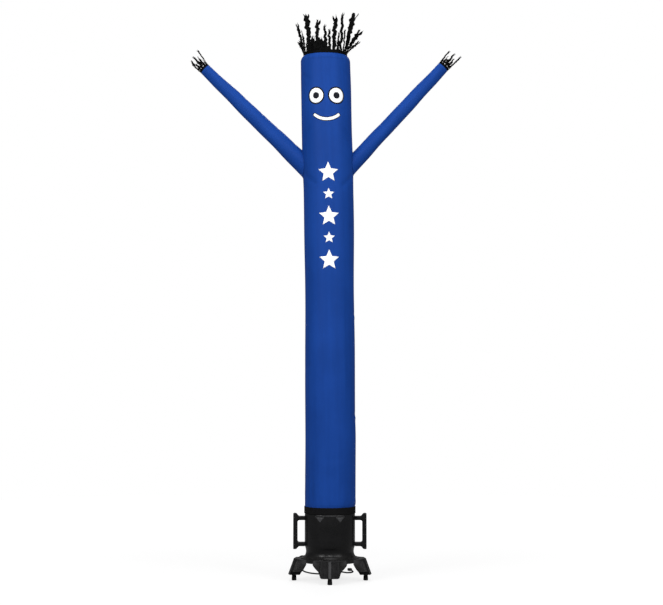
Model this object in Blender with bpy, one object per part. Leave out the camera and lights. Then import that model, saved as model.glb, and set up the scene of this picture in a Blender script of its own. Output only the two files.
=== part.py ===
"""An inflatable air dancer standing on its fan base.

Metres, +Z up. The feet stand on z = 0 and the dancer's front looks along -Y.
"""
import math
import random

import bmesh
import bpy
from mathutils import Matrix, Vector

# Clearances and sheet thicknesses
FIT = 0.0003          # gap between pieces that touch
CLOTH = 0.0013        # wall of the blown tubes
AXIS_X = 0.026        # the fan's axis, so that the origin is under the middle of the reach
SMOOTH, CRISP = 35.0, 22.0     # steepest smooth edge, in degrees, on round pieces and on flat-sided ones

# Blown body tube: outer radius and sideways drift of its centre line at each height
TUBE_SECTIONS = (
    # height, radius, drift
    (0.4075, 0.1520, 0.0000),
    (0.4460, 0.1520, 0.0000),
    (0.4560, 0.1538, 0.0020),
    (0.4850, 0.1549, 0.0035),
    (0.8450, 0.1549, 0.0035),
    (1.0300, 0.1527, 0.0010),
    (1.3900, 0.1522, 0.0000),
    (1.7600, 0.1496, -0.0028),
    (2.1300, 0.1518, -0.0050),
    (2.3600, 0.1512, -0.0078),
    (2.5400, 0.1545, -0.0120),
    (2.7400, 0.1534, -0.0180),
    (2.9900, 0.1526, -0.0240),
    (3.1200, 0.1507, -0.0276),
    (3.1620, 0.1500, -0.0283),
    (3.1760, 0.1472, -0.0284),
    (3.1870, 0.1422, -0.0285),
    (3.1940, 0.1353, -0.0285),
)
TUBE_SIDES = 48

# Arms: where the axis leaves the body tube, where the cloth ends, and the radius at both
ARMS = {
    # name: root x, root z, end x, end z, root radius, end radius
    "left": (-0.1670, 2.5350, -0.7670, 3.1170, 0.0595, 0.0355),
    "right": (0.1420, 2.5350, 0.6950, 3.1300, 0.0495, 0.0370),
}
ARM_SIDES = 24
ARM_RINGS = 8
ARM_INNER_REACH = 0.10     # how far the arm's cone is carried inside the body before it is trimmed

# Fringes: ribbons fused into a narrow sewn band
BAND_WIDTH = 0.024
RIBBON = 0.0020            # thickness of the band and of its ribbons
RIBBON_CURL = 1.25         # how late along its length a ribbon leans away: 1 leans evenly
RIBBON_TIP = 0.80          # share of a ribbon's width left at its cut end
KINK_LEAST = 0.20          # smallest share of the full kink at one section
FRINGES = {
    # name: slots, sections along a ribbon, share of a slot that the ribbon's root fills,
    #       full kink as a share of a section's length, seed
    "hair_fringe": (32, 6, 0.70, 0.22, 20),
    "hand_fringe_left": (12, 4, 0.55, 0.18, 5),
    "hand_fringe_right": (12, 4, 0.55, 0.18, 8),
}
MAIN_RIBBONS = {
    # name: slot: reach of the tip from the axis, rise above the band, width, twist in degrees
    "hair_fringe": {
        0: (0.138, 0.144, 0.017, 20.0),
        1: (0.127, 0.121, 0.016, 30.0),
        2: (0.161, 0.183, 0.023, 30.0),
        3: (0.152, 0.100, 0.010, 30.0),
        4: (0.153, 0.222, 0.018, 60.0),
        5: (0.146, 0.130, 0.011, 50.0),
        6: (0.190, 0.219, 0.028, 75.0),
        7: (0.217, 0.124, 0.026, 75.0),
        9: (0.215, 0.081, 0.019, -80.0),
        23: (0.169, 0.080, 0.020, 80.0),
        25: (0.178, 0.172, 0.020, -80.0),
        26: (0.148, 0.092, 0.014, -60.0),
        28: (0.161, 0.205, 0.028, -50.0),
        29: (0.133, 0.074, 0.021, -25.0),
        30: (0.118, 0.173, 0.021, -30.0),
        31: (0.134, 0.066, 0.021, 10.0),
    },
    "hand_fringe_left": {
        0: (0.037, 0.077, 0.012, 20.0),
        2: (0.050, 0.033, 0.011, -60.0),
        3: (0.052, 0.094, 0.012, 80.0),
        5: (0.044, 0.059, 0.012, -40.0),
        9: (0.022, 0.076, 0.013, 80.0),
    },
    "hand_fringe_right": {
        0: (0.036, 0.079, 0.012, 20.0),
        1: (0.037, 0.059, 0.011, 40.0),
        3: (0.036, 0.101, 0.012, -80.0),
        9: (0.037, 0.078, 0.013, -80.0),
    },
}
LOOSE_RIBBONS = {
    # name: the other ribbons' least and most reach, rise, width and twist
    "hair_fringe": ((0.140, 0.176), (0.060, 0.150), (0.015, 0.019), (20.0, 80.0)),
    "hand_fringe_left": ((0.036, 0.044), (0.035, 0.065), (0.009, 0.011), (10.0, 50.0)),
    "hand_fringe_right": ((0.036, 0.044), (0.035, 0.065), (0.009, 0.011), (10.0, 50.0)),
}
HAIR_INWARD_EVERY = 3      # one loose hair ribbon in so many leans in over the mouth
HAIR_INWARD = ((0.070, 0.100), (0.050, 0.110), (0.013, 0.016), (10.0, 60.0))

# Fastening strap around the tube's hem
STRAP_BOTTOM, STRAP_TOP = 0.4055, 0.4460
STRAP_RADIUS = 0.1565
STRAP_INSIDE = 0.1523

# Fan housing: outer radius at each height, from the bell mouth up to the collar
HOUSING_RADIUS = 0.1525
HOUSING_SECTIONS = (
    # height, radius
    (0.1393, 0.1630),
    (0.1480, 0.1542),
    (0.1600, 0.1472),
    (0.1760, 0.1444),
    (0.1920, 0.1460),
    (0.2070, 0.1510),
    (0.2160, HOUSING_RADIUS),
    (0.4020, HOUSING_RADIUS),
    (0.4035, 0.1503),
    (0.4300, 0.1503),
    (0.4380, 0.1483),
)
HOUSING_INSIDE = (
    # height, radius of the duct
    (0.1393, 0.1585),
    (0.1560, 0.1430),
    (0.1760, 0.1376),
    (0.2160, 0.1450),
    (0.4380, 0.1425),
)
HOUSING_SIDES = 48

# Base ring with its arched skirt
BASE_TOP = 0.1390
BASE_RADIUS = 0.1740
BASE_INSIDE = 0.1450
BASE_PLATE = 0.0040
SKIRT_WALL = 0.0050
SKIRT_DEEP, SKIRT_ARCH = 0.1000, 0.1130     # height of the lower edge beside a leg and mid-way
ARCH_START, ARCH_STEEPNESS = 0.35, 1.60     # where the arch begins, and how fast it rises there

# Legs and feet
LEG_NAMES = ("right", "back", "left", "front")
LEG_TOP_REACH, LEG_REACH = 0.2140, 0.2490
LEG_TOP, LEG_BOTTOM = 0.1340, 0.0375
LEG_HEEL = 0.1810
LEG_HALF_TOP, LEG_HALF_BOTTOM = 0.0550, 0.0600
LEG_CORNER, LEG_ROUND_SHARE = 0.0140, 0.7600
LEG_RIB, LEG_RIB_SHARE = 0.0035, 0.2000
LEG_EDGE = 0.0040
LEG_ROOT = (
    # height on the ring's wall, how much wider the leg is there than its face
    (LEG_TOP, 1.75),
    (0.1180, 1.82),
    (0.1080, 1.84),
    (0.0980, 1.72),
    (0.0860, 1.52),
    (0.0700, 1.22),
)
LEG_SHARES = (0.0, 0.18, 0.22, 0.36, 0.52, 0.68, 0.84, 0.95, 1.0)    # slices of half a leg, from its middle
FOOT_RADIUS, FOOT_CENTRE = 0.0143, 0.2165
FOOT_CHAMFER = 0.0020
FOOT_SIDES = 16

# Grab handles
HANDLE_REACH, HANDLE_BAR = 0.2220, 0.0262
HANDLE_TOP, HANDLE_BOTTOM = 0.4050, 0.1880
STRUT_TOP, STRUT_BOTTOM = 0.3746, 0.2180    # middle of each strut
STRUT_HALF = 0.0125
HANDLE_HALF_WIDTH = 0.0170
HANDLE_CHAMFER = 0.0070
HANDLE_TIP = 0.0185        # width of the bar where its ends are cut off
HANDLE_EDGE = 0.0030
HANDLE_SLICES = (-1.0, -0.5, 0.0, 0.5, 1.0)     # across its width, as shares of the half width

# Intake guard and motor
GUARD_THICK = 0.0040
GUARD_RADIUS = 0.1620
GUARD_BANDS = (0.0500, 0.0800, 0.0860, 0.1140, 0.1200, 0.1480)   # edges of hub, rings and rim
GUARD_SPOKES = 12
GUARD_SPOKE_SHARE = 0.16
MOTOR_RADIUS, MOTOR_HEIGHT = 0.0580, 0.1250
MOTOR_FOOT, MOTOR_CROWN = 0.0060, 0.0180    # heights of the bevels at its foot and crown
MOTOR_FOOT_SHARE, MOTOR_CROWN_SHARE = 0.80, 0.60
MOTOR_SIDES = 24

# Power cord: its gland on the skirt, the lead along the floor, the coil behind the base, and the tail
CORD_RADIUS = 0.0045
CORD_LIFT = CORD_RADIUS + 0.0006
GLAND_ANGLE = math.radians(138.75)
GLAND_HEIGHT = 0.1285
GLAND_LENGTH = 0.0380
GLAND_RADIUS, GLAND_NECK, GLAND_TIP = 0.0100, 0.0080, 0.0062
GLAND_FLANGE, GLAND_STEP = 0.0060, 0.0020   # length of the flange and of the step down to the neck
GLAND_SIDES = 16
CORD_STRAIGHT = 0.0120     # how far it runs straight on from the gland
CORD_LEAD = (
    # x, y, z, from the gland down to the floor, round behind the left leg and back to the coil
    (-0.1786, 0.1566, 0.1261),
    (-0.1876, 0.1645, 0.1191),
    (-0.1943, 0.1704, 0.1085),
    (-0.1978, 0.1738, 0.0975),
    (-0.2012, 0.1775, 0.0796),
    (-0.2048, 0.1822, 0.0603),
    (-0.2085, 0.1890, 0.0425),
    (-0.2125, 0.1990, 0.0270),
    (-0.2170, 0.2130, 0.0150),
    (-0.2215, 0.2310, 0.0080),
    (-0.2262, 0.2530, 0.0055),
    (-0.2315, 0.2830, CORD_LIFT),
    (-0.2375, 0.3220, CORD_LIFT),
    (-0.2430, 0.3680, CORD_LIFT),
    (-0.2478, 0.4150, CORD_LIFT),
    (-0.2508, 0.4560, CORD_LIFT),
    (-0.2515, 0.4840, CORD_LIFT),
    (-0.2463, 0.5033, CORD_LIFT),
    (-0.2323, 0.5173, CORD_LIFT),
    (-0.2130, 0.5225, CORD_LIFT),
    (-0.1938, 0.5173, CORD_LIFT),
    (-0.1797, 0.5033, CORD_LIFT),
    (-0.1745, 0.4840, CORD_LIFT),
    (-0.1732, 0.4560, CORD_LIFT),
    (-0.1685, 0.4150, CORD_LIFT),
    (-0.1570, 0.3740, CORD_LIFT),
    (-0.1375, 0.3300, CORD_LIFT),
    (-0.1110, 0.2930, CORD_LIFT),
    (-0.0780, 0.2690, CORD_LIFT),
    (-0.0390, 0.2602, CORD_LIFT),
)
COIL_CENTRE = (0.0000, 0.3270)
COIL_INNER, COIL_STEP = 0.0372, 0.0100      # smallest radius, and how far each turn lies from the next
COIL_LAYER = 0.0094        # height of the upper layer over the lower one
COIL_POINTS = 16           # points to each turn
COIL_LOWER, COIL_CLIMB, COIL_UPPER = 48, 5, 44     # points of the lower layer, the climb and the upper layer
CORD_TAIL = (
    # x, y, z, from the coil round to the plug
    (0.0489, 0.2800, CORD_LIFT + COIL_LAYER),
    (0.0680, 0.2905, CORD_LIFT + COIL_LAYER),
    (0.0890, 0.3025, 0.0102),
    (0.1085, 0.3155, 0.0062),
    (0.1250, 0.3300, CORD_LIFT),
    (0.1375, 0.3470, CORD_LIFT),
    (0.1440, 0.3665, CORD_LIFT),
    (0.1440, 0.3865, 0.0056),
    (0.1400, 0.4055, 0.0068),
    (0.1345, 0.4230, 0.0080),
)
PLUG_LENGTH, PLUG_WIDTH, PLUG_HEIGHT = 0.0400, 0.0260, 0.0180
PLUG_SIDES = 12
PLUG_SQUARENESS = 0.60     # 1 is an ellipse, and less is squarer
PLUG_SECTIONS = (
    # distance along, share of the full width, share of the full height
    (0.0000, 0.40, 0.62),
    (0.0120, 0.55, 0.72),
    (0.0180, 0.96, 0.98),
    (0.0360, 1.00, 1.00),
    (PLUG_LENGTH, 0.88, 0.88),
)
PIN_LENGTH, PIN_WIDTH, PIN_THICK, PIN_SPREAD = 0.0170, 0.0063, 0.0016, 0.0127
PIN_ROOT = 0.0040          # how deep a pin is set in the plug

COLOURS = {
    # finish: colour, roughness, metallic
    "blue_nylon": ((0.012, 0.055, 0.290, 1.0), 0.62, 0.0),
    "black_nylon": ((0.008, 0.008, 0.009, 1.0), 0.70, 0.0),
    "black_webbing": ((0.010, 0.010, 0.011, 1.0), 0.85, 0.0),
    "black_moulding": ((0.012, 0.012, 0.013, 1.0), 0.48, 0.0),
    "black_rubber": ((0.009, 0.009, 0.009, 1.0), 0.80, 0.0),
    "dark_steel": ((0.060, 0.060, 0.065, 1.0), 0.45, 0.6),
    "black_cord": ((0.010, 0.010, 0.010, 1.0), 0.55, 0.0),
}


def clear_scene():
    for old in list(bpy.data.objects):
        bpy.data.objects.remove(old, do_unlink=True)


def finish_named(name):
    """Return the material of that finish, made on first use."""
    material = bpy.data.materials.get(name)
    if material is None:
        colour, roughness, metallic = COLOURS[name]
        material = bpy.data.materials.new(name)
        material.use_nodes = True
        shader = material.node_tree.nodes["Principled BSDF"]
        shader.inputs["Base Color"].default_value = colour
        shader.inputs["Roughness"].default_value = roughness
        shader.inputs["Metallic"].default_value = metallic
    return material


def place(name, mesh, finish, axis, matrix=None):
    """Put a mesh in the scene as a named piece carried by the axis empty."""
    mesh.materials.append(finish_named(finish))
    piece = bpy.data.objects.new(name, mesh)
    bpy.context.scene.collection.objects.link(piece)
    piece.parent = axis
    if matrix is not None:
        piece.matrix_local = matrix
    return piece


def to_mesh(name, bm, smooth_angle=SMOOTH):
    """Turn a bmesh into a mesh with outward faces, smooth up to an angle."""
    bmesh.ops.recalc_face_normals(bm, faces=bm.faces)
    mesh = bpy.data.meshes.new(name)
    bm.to_mesh(mesh)
    bm.free()
    mesh.shade_smooth()
    mesh.set_sharp_from_angle(angle=math.radians(smooth_angle))
    return mesh


def loft(name, loops, hollow=False, smooth_angle=SMOOTH, domed=False):
    """Skin a list of closed loops; a hollow one joins its last loop to the first.

    A domed one closes each end with triangles round a middle point, for ends that aren't flat.
    """
    bm = bmesh.new()
    rows = [[bm.verts.new(point) for point in loop] for loop in loops]
    pairs = list(zip(rows, rows[1:]))
    if hollow:
        pairs.append((rows[-1], rows[0]))
    count = len(rows[0])
    for low, high in pairs:
        for k in range(count):
            following = (k + 1) % count
            bm.faces.new((low[k], low[following], high[following], high[k]))
    if domed:
        for row in (rows[0][::-1], rows[-1]):
            middle = bm.verts.new(sum((vert.co for vert in row), Vector()) / count)
            for k in range(count):
                bm.faces.new((row[k], row[(k + 1) % count], middle))
    elif not hollow:
        bm.faces.new(reversed(rows[0]))
        bm.faces.new(rows[-1])
    return to_mesh(name, bm, smooth_angle)


def circle(radius, height, sides, centre=(0.0, 0.0)):
    """Points of a level polygon."""
    turns = [2.0 * math.pi * k / sides for k in range(sides)]
    return [(centre[0] + radius * math.cos(a), centre[1] + radius * math.sin(a), height) for a in turns]


def turned_shell(name, outer, inner, sides):
    """Turn an outer and an inner (height, radius) profile, both from the bottom up, into a tube."""
    loops = [circle(radius, height, sides) for height, radius in tuple(outer) + tuple(reversed(inner))]
    return loft(name, loops, hollow=True)


def cutter(name, mesh, axis, matrix=None):
    """A shape that only cuts others and is left out of the part."""
    piece = place(name, mesh, "black_moulding", axis, matrix)
    piece.hide_render = True
    piece.display_type = "WIRE"
    return piece


def cut(piece, tool):
    modifier = piece.modifiers.new("cut_" + tool.name, "BOOLEAN")
    modifier.operation = "DIFFERENCE"
    modifier.solver = "EXACT"
    modifier.object = tool


# ---------------------------------------------------------------- blown cloth

def tube_loops(grow):
    """The body tube's loops, its radius changed by grow."""
    return [circle(radius + grow, height, TUBE_SIDES, (drift, 0.0))
            for height, radius, drift in TUBE_SECTIONS]


def body_tube(axis):
    mesh = loft("body_tube", tube_loops(0.0) + tube_loops(-CLOTH)[::-1], hollow=True)
    return place("body_tube", mesh, "blue_nylon", axis)


def body_form(axis):
    """The filled body, a little larger, which trims the arms' roots."""
    return cutter("body_form", loft("body_form", tube_loops(FIT)), axis)


def arm_frame(side):
    """Length of the arm's cloth and the matrix that lays +Z along it, from its root."""
    root_x, root_z, end_x, end_z, _, _ = ARMS[side]
    along = Vector((end_x - root_x, 0.0, end_z - root_z))
    depth = Vector((0.0, 1.0, 0.0))
    turn = Matrix((depth.cross(along).normalized(), depth, along.normalized())).transposed().to_4x4()
    return along.length, Matrix.Translation((root_x, 0.0, root_z)) @ turn


def arm_loops(side, grow):
    """Loops of the arm's cone in its own frame, from inside the body to the open end."""
    length, _ = arm_frame(side)
    root_radius, end_radius = ARMS[side][4:]
    loops = []
    for ring in range(ARM_RINGS):
        along = -ARM_INNER_REACH + (length + ARM_INNER_REACH) * ring / (ARM_RINGS - 1)
        radius = root_radius + (end_radius - root_radius) * along / length
        loops.append(circle(radius + grow, along, ARM_SIDES))
    return loops


def arm(side, body, form, axis):
    """One arm: an open tapering tube trimmed to the body, and the hole it feeds from."""
    _, matrix = arm_frame(side)
    mesh = loft("arm_" + side, arm_loops(side, 0.0) + arm_loops(side, -CLOTH)[::-1], hollow=True)
    piece = place("arm_" + side, mesh, "blue_nylon", axis, matrix)
    cut(piece, form)
    bore = cutter("arm_bore_" + side, loft("arm_bore_" + side, arm_loops(side, -CLOTH)), axis, matrix)
    cut(body, bore)


# ---------------------------------------------------------------- ribbon fringes

def ribbon_path(base_radius, azimuth, reach, rise, sections, kink, rng):
    """Points from the band up a ribbon: it leans out by reach, and is kinked from side to side."""
    radial = Vector((math.sin(azimuth), -math.cos(azimuth), 0.0))
    across = Vector((math.cos(azimuth), math.sin(azimuth), 0.0))
    side = rng.choice((-1.0, 1.0))
    points = []
    for step in range(1, sections + 1):
        part = step / sections
        radius = base_radius + (reach - base_radius) * part ** RIBBON_CURL
        sway = side * kink * rise / sections * rng.uniform(KINK_LEAST, 1.0)
        height = BAND_WIDTH + rise * part
        points.append(radial * radius + across * sway + Vector((0.0, 0.0, height)))
        side = -side
    return points


def ribbon_corners(previous, point, across, width, turn):
    """Four corners of a ribbon's section at point, its width turned about the ribbon's own line."""
    along = (point - previous).normalized()
    across = (across - along * across.dot(along)).normalized()
    outward = across.cross(along)
    half = (across * math.cos(turn) + outward * math.sin(turn)) * (width / 2.0)
    thick = (outward * math.cos(turn) - across * math.sin(turn)) * (RIBBON / 2.0)
    return (point - half + thick, point + half + thick, point + half - thick, point - half - thick)


def skin_ribbon(bm, below, above):
    """Close one section of a ribbon, with its two broad faces split alike so that a twist can't thin it."""
    for j in range(4):
        following = (j + 1) % 4
        low, low_next, high_next, high = below[j], below[following], above[following], above[j]
        if j < 2:
            bm.faces.new((low, low_next, high_next))
            bm.faces.new((low, high_next, high))
        else:
            bm.faces.new((low, low_next, high))
            bm.faces.new((low_next, high_next, high))


def band_rows(bm, radius, slots, fill):
    """The band's four rings of corners, two for each slot: outer low, outer high, inner high, inner low."""
    slot_turn = 2.0 * math.pi / slots
    half = fill * slot_turn / 2.0
    edges = [slot * slot_turn + offset for slot in range(slots) for offset in (-half, half)]
    inside = radius - RIBBON
    levels = ((radius, 0.0), (radius, BAND_WIDTH), (inside, BAND_WIDTH), (inside, 0.0))
    return [[bm.verts.new((r * math.sin(a), -r * math.cos(a), z)) for a in edges] for r, z in levels]


def fringe(name, radius):
    """A sewn band with a ribbon standing on each of its slots."""
    slots, sections, fill, kink, seed = FRINGES[name]
    rng = random.Random(seed)
    bm = bmesh.new()
    rows = band_rows(bm, radius, slots, fill)
    count = 2 * slots
    for low, high in zip(rows, rows[1:] + rows[:1]):
        for k in range(count):
            on_slot = k % 2 == 0 and low is rows[1]
            if not on_slot:
                following = (k + 1) % count
                bm.faces.new((low[k], low[following], high[following], high[k]))
    for slot in range(slots):
        reach, rise, width, twist = ribbon_sizes(name, slot, rng)
        azimuth = slot * 2.0 * math.pi / slots
        across = Vector((math.cos(azimuth), math.sin(azimuth), 0.0))
        k = 2 * slot
        below = [rows[1][k], rows[1][k + 1], rows[2][k + 1], rows[2][k]]
        previous = Vector((radius * math.sin(azimuth), -radius * math.cos(azimuth), BAND_WIDTH))
        path = ribbon_path(radius - RIBBON / 2.0, azimuth, reach, rise, sections, kink, rng)
        for step, point in enumerate(path, 1):
            turn = math.radians(twist) * step / sections
            wide = width * (RIBBON_TIP if step == sections else 1.0)
            above = [bm.verts.new(c) for c in ribbon_corners(previous, point, across, wide, turn)]
            skin_ribbon(bm, below, above)
            below, previous = above, point
        bm.faces.new(below)
    return to_mesh(name, bm, CRISP)


def ribbon_sizes(name, slot, rng):
    """Reach, rise, width and twist of one ribbon, from the table or wandering between two bounds."""
    wander = [rng.random() for _ in range(4)]
    hand = rng.choice((-1.0, 1.0))
    if slot in MAIN_RIBBONS[name]:
        return MAIN_RIBBONS[name][slot]
    inward = name == "hair_fringe" and slot % HAIR_INWARD_EVERY == 0
    bounds = HAIR_INWARD if inward else LOOSE_RIBBONS[name]
    reach, rise, width, twist = (low + (high - low) * share for (low, high), share in zip(bounds, wander))
    return reach, rise, width, hand * twist


def hair(axis):
    height, radius, drift = TUBE_SECTIONS[-1]
    seat = Matrix.Translation((drift, 0.0, height + FIT))
    place("hair_fringe", fringe("hair_fringe", radius), "black_nylon", axis, seat)


def hand(side, axis):
    """The fringe past one arm's open end."""
    length, matrix = arm_frame(side)
    end_radius = ARMS[side][5]
    name = "hand_fringe_" + side
    seat = matrix @ Matrix.Translation((0.0, 0.0, length + FIT))
    place(name, fringe(name, end_radius), "black_nylon", axis, seat)


# ---------------------------------------------------------------- fan base

def fastening_strap(axis):
    outer, inner = (((STRAP_BOTTOM, radius), (STRAP_TOP, radius)) for radius in (STRAP_RADIUS, STRAP_INSIDE))
    mesh = turned_shell("fastening_strap", outer, inner, HOUSING_SIDES)
    place("fastening_strap", mesh, "black_webbing", axis)


def blower_housing(axis):
    mesh = turned_shell("blower_housing", HOUSING_SECTIONS, HOUSING_INSIDE, HOUSING_SIDES)
    place("blower_housing", mesh, "black_moulding", axis)


def skirt_edge(angle):
    """Height of the skirt's lower edge: an arch between each two legs."""
    arch = abs(math.sin(2.0 * angle))
    rise = min(1.0, ARCH_STEEPNESS * math.sqrt(max(0.0, arch - ARCH_START)))
    return SKIRT_DEEP + (SKIRT_ARCH - SKIRT_DEEP) * rise


def base_ring(axis):
    turns = [2.0 * math.pi * k / HOUSING_SIDES for k in range(HOUSING_SIDES)]
    skirt_inside = BASE_RADIUS - SKIRT_WALL

    def ring(radius, height_at):
        return [(radius * math.cos(a), radius * math.sin(a), height_at(a)) for a in turns]

    loops = [
        ring(BASE_RADIUS, skirt_edge),
        ring(BASE_RADIUS, lambda a: BASE_TOP),
        ring(BASE_INSIDE, lambda a: BASE_TOP),
        ring(BASE_INSIDE, lambda a: BASE_TOP - BASE_PLATE),
        ring(skirt_inside, lambda a: BASE_TOP - BASE_PLATE),
        ring(skirt_inside, skirt_edge),
    ]
    place("base_ring", loft("base_ring", loops, hollow=True), "black_moulding", axis)


def leg_section(share):
    """One upright slice of a leg; share runs from -1 at one side to 1 at the other."""
    rib = LEG_RIB if abs(share) < LEG_RIB_SHARE else 0.0
    rounding = max(0.0, (abs(share) - LEG_ROUND_SHARE) / (1.0 - LEG_ROUND_SHARE))
    lift = LEG_CORNER * (1.0 - math.sqrt(1.0 - rounding ** 2))
    bottom = LEG_BOTTOM + lift
    slope = (LEG_REACH - LEG_TOP_REACH) / (LEG_TOP - LEG_BOTTOM)
    reach = LEG_REACH - lift * slope

    def across(height):
        down = (LEG_TOP - height) / (LEG_TOP - LEG_BOTTOM)
        return share * (LEG_HALF_TOP + (LEG_HALF_BOTTOM - LEG_HALF_TOP) * down)

    def at(height, radial):
        return (radial, across(height), height)

    def on_ring(height, flare):
        """A point against the base ring's wall."""
        y = across(height) * flare
        return (math.sqrt((BASE_RADIUS + FIT) ** 2 - y * y), y, height)

    root = [on_ring(height, flare) for height, flare in LEG_ROOT]
    return root[:1] + [
        at(LEG_TOP, LEG_TOP_REACH - LEG_EDGE),
        at(LEG_TOP - LEG_EDGE, LEG_TOP_REACH + rib),
        at(bottom + LEG_EDGE, reach + rib),
        at(bottom, reach - LEG_EDGE),
        at(bottom, LEG_HEEL + LEG_EDGE),
        at(bottom + LEG_EDGE, LEG_HEEL),
    ] + root[:0:-1]


def leg_mesh():
    """A leg whose root flares out against the ring on both sides."""
    shares = [-share for share in reversed(LEG_SHARES[1:])] + list(LEG_SHARES)
    return loft("leg", [leg_section(share) for share in shares], smooth_angle=CRISP, domed=True)


def foot_mesh():
    top = LEG_BOTTOM - FIT
    loops = [
        circle(FOOT_RADIUS - FOOT_CHAMFER, 0.0, FOOT_SIDES, (FOOT_CENTRE, 0.0)),
        circle(FOOT_RADIUS, FOOT_CHAMFER, FOOT_SIDES, (FOOT_CENTRE, 0.0)),
        circle(FOOT_RADIUS, top, FOOT_SIDES, (FOOT_CENTRE, 0.0)),
    ]
    return loft("foot", loops)


def legs_and_feet(axis):
    for quarter, side in enumerate(LEG_NAMES):
        turn = Matrix.Rotation(quarter * math.pi / 2.0, 4, "Z")
        place("leg_" + side, leg_mesh(), "black_moulding", axis, turn)
        place("foot_" + side, foot_mesh(), "black_rubber", axis, turn)


def handle_mesh():
    """A moulded bow: an upright bar on two struts whose ends follow the housing's wall."""
    bar_inside = HANDLE_REACH - HANDLE_BAR
    loops = []
    for share in HANDLE_SLICES:
        y = share * HANDLE_HALF_WIDTH
        wall = math.sqrt((HOUSING_RADIUS + FIT) ** 2 - y * y)
        outline = [
            (wall, STRUT_TOP + STRUT_HALF),
            (bar_inside - HANDLE_CHAMFER, STRUT_TOP + STRUT_HALF),
            (HANDLE_REACH - HANDLE_TIP, HANDLE_TOP),
            (HANDLE_REACH - HANDLE_EDGE, HANDLE_TOP),
            (HANDLE_REACH, HANDLE_TOP - HANDLE_EDGE),
            (HANDLE_REACH, HANDLE_BOTTOM + HANDLE_EDGE),
            (HANDLE_REACH - HANDLE_EDGE, HANDLE_BOTTOM),
            (HANDLE_REACH - HANDLE_TIP, HANDLE_BOTTOM),
            (bar_inside - HANDLE_CHAMFER, STRUT_BOTTOM - STRUT_HALF),
            (wall, STRUT_BOTTOM - STRUT_HALF),
            (wall, STRUT_BOTTOM + STRUT_HALF),
            (bar_inside, STRUT_BOTTOM + STRUT_HALF),
            (bar_inside, STRUT_TOP - STRUT_HALF),
            (wall, STRUT_TOP - STRUT_HALF),
        ]
        loops.append([(reach, y, height) for reach, height in outline])
    return loft("handle", loops, smooth_angle=CRISP)


def handles(axis):
    place("handle_right", handle_mesh(), "black_moulding", axis)
    place("handle_left", handle_mesh(), "black_moulding", axis, Matrix.Rotation(math.pi, 4, "Z"))


def intake_guard(axis):
    """A flat grille: a hub, two rings and a rim on narrow spokes."""
    top = BASE_TOP - BASE_PLATE - FIT
    radii = GUARD_BANDS + (GUARD_RADIUS,)
    spoke_turn = 2.0 * math.pi / GUARD_SPOKES
    spoke_half = GUARD_SPOKE_SHARE * spoke_turn / 2.0
    angles = []
    for spoke in range(GUARD_SPOKES):
        angles += [spoke * spoke_turn - spoke_half, spoke * spoke_turn + spoke_half]
    bm = bmesh.new()
    levels = (top - GUARD_THICK, top)
    grid = [[[bm.verts.new((r * math.cos(a), r * math.sin(a), z)) for a in angles] for r in radii]
            for z in levels]
    count = len(angles)
    solid = {(band, k) for band in range(len(radii) - 1) for k in range(count) if band % 2 == 1 or k % 2 == 0}
    for level in range(2):
        bm.faces.new(grid[level][0])
        for band, k in solid:
            n = (k + 1) % count
            inner, outer = grid[level][band], grid[level][band + 1]
            bm.faces.new((inner[k], inner[n], outer[n], outer[k]))
    for band in range(len(radii)):
        for k in range(count):
            n = (k + 1) % count
            inside = band == 0 or (band - 1, k) in solid
            outside = (band, k) in solid
            if inside != outside:
                low, high = grid[0][band], grid[1][band]
                bm.faces.new((low[k], low[n], high[n], high[k]))
    for band in range(len(radii) - 1):
        for k in range(count):
            if ((band, k) in solid) != ((band, (k - 1) % count) in solid):
                low, high = grid[0], grid[1]
                bm.faces.new((low[band][k], low[band + 1][k], high[band + 1][k], high[band][k]))
    place("intake_guard", to_mesh("intake_guard", bm), "black_moulding", axis)


def motor(axis):
    bottom = BASE_TOP - BASE_PLATE
    crown = bottom + MOTOR_HEIGHT
    profile = (
        (bottom, MOTOR_RADIUS * MOTOR_FOOT_SHARE),
        (bottom + MOTOR_FOOT, MOTOR_RADIUS),
        (crown - MOTOR_CROWN, MOTOR_RADIUS),
        (crown, MOTOR_RADIUS * MOTOR_CROWN_SHARE),
    )
    mesh = loft("motor", [circle(radius, height, MOTOR_SIDES) for height, radius in profile])
    place("motor", mesh, "dark_steel", axis)


# ---------------------------------------------------------------- power cord

def gland_frame():
    """The matrix that lays +Z along the gland, out of the skirt's flat facet."""
    facet = BASE_RADIUS * math.cos(math.pi / HOUSING_SIDES) + FIT
    out = Vector((math.cos(GLAND_ANGLE), math.sin(GLAND_ANGLE), 0.0))
    start = out * facet + Vector((0.0, 0.0, GLAND_HEIGHT))
    return Matrix.Translation(start) @ out.to_track_quat("Z", "Y").to_matrix().to_4x4()


def cord_gland(axis):
    loops = [
        circle(GLAND_RADIUS, 0.0, GLAND_SIDES),
        circle(GLAND_RADIUS, GLAND_FLANGE, GLAND_SIDES),
        circle(GLAND_NECK, GLAND_FLANGE + GLAND_STEP, GLAND_SIDES),
        circle(GLAND_TIP, GLAND_LENGTH, GLAND_SIDES),
    ]
    place("cord_gland", loft("cord_gland", loops), "black_rubber", axis, gland_frame())


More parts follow.
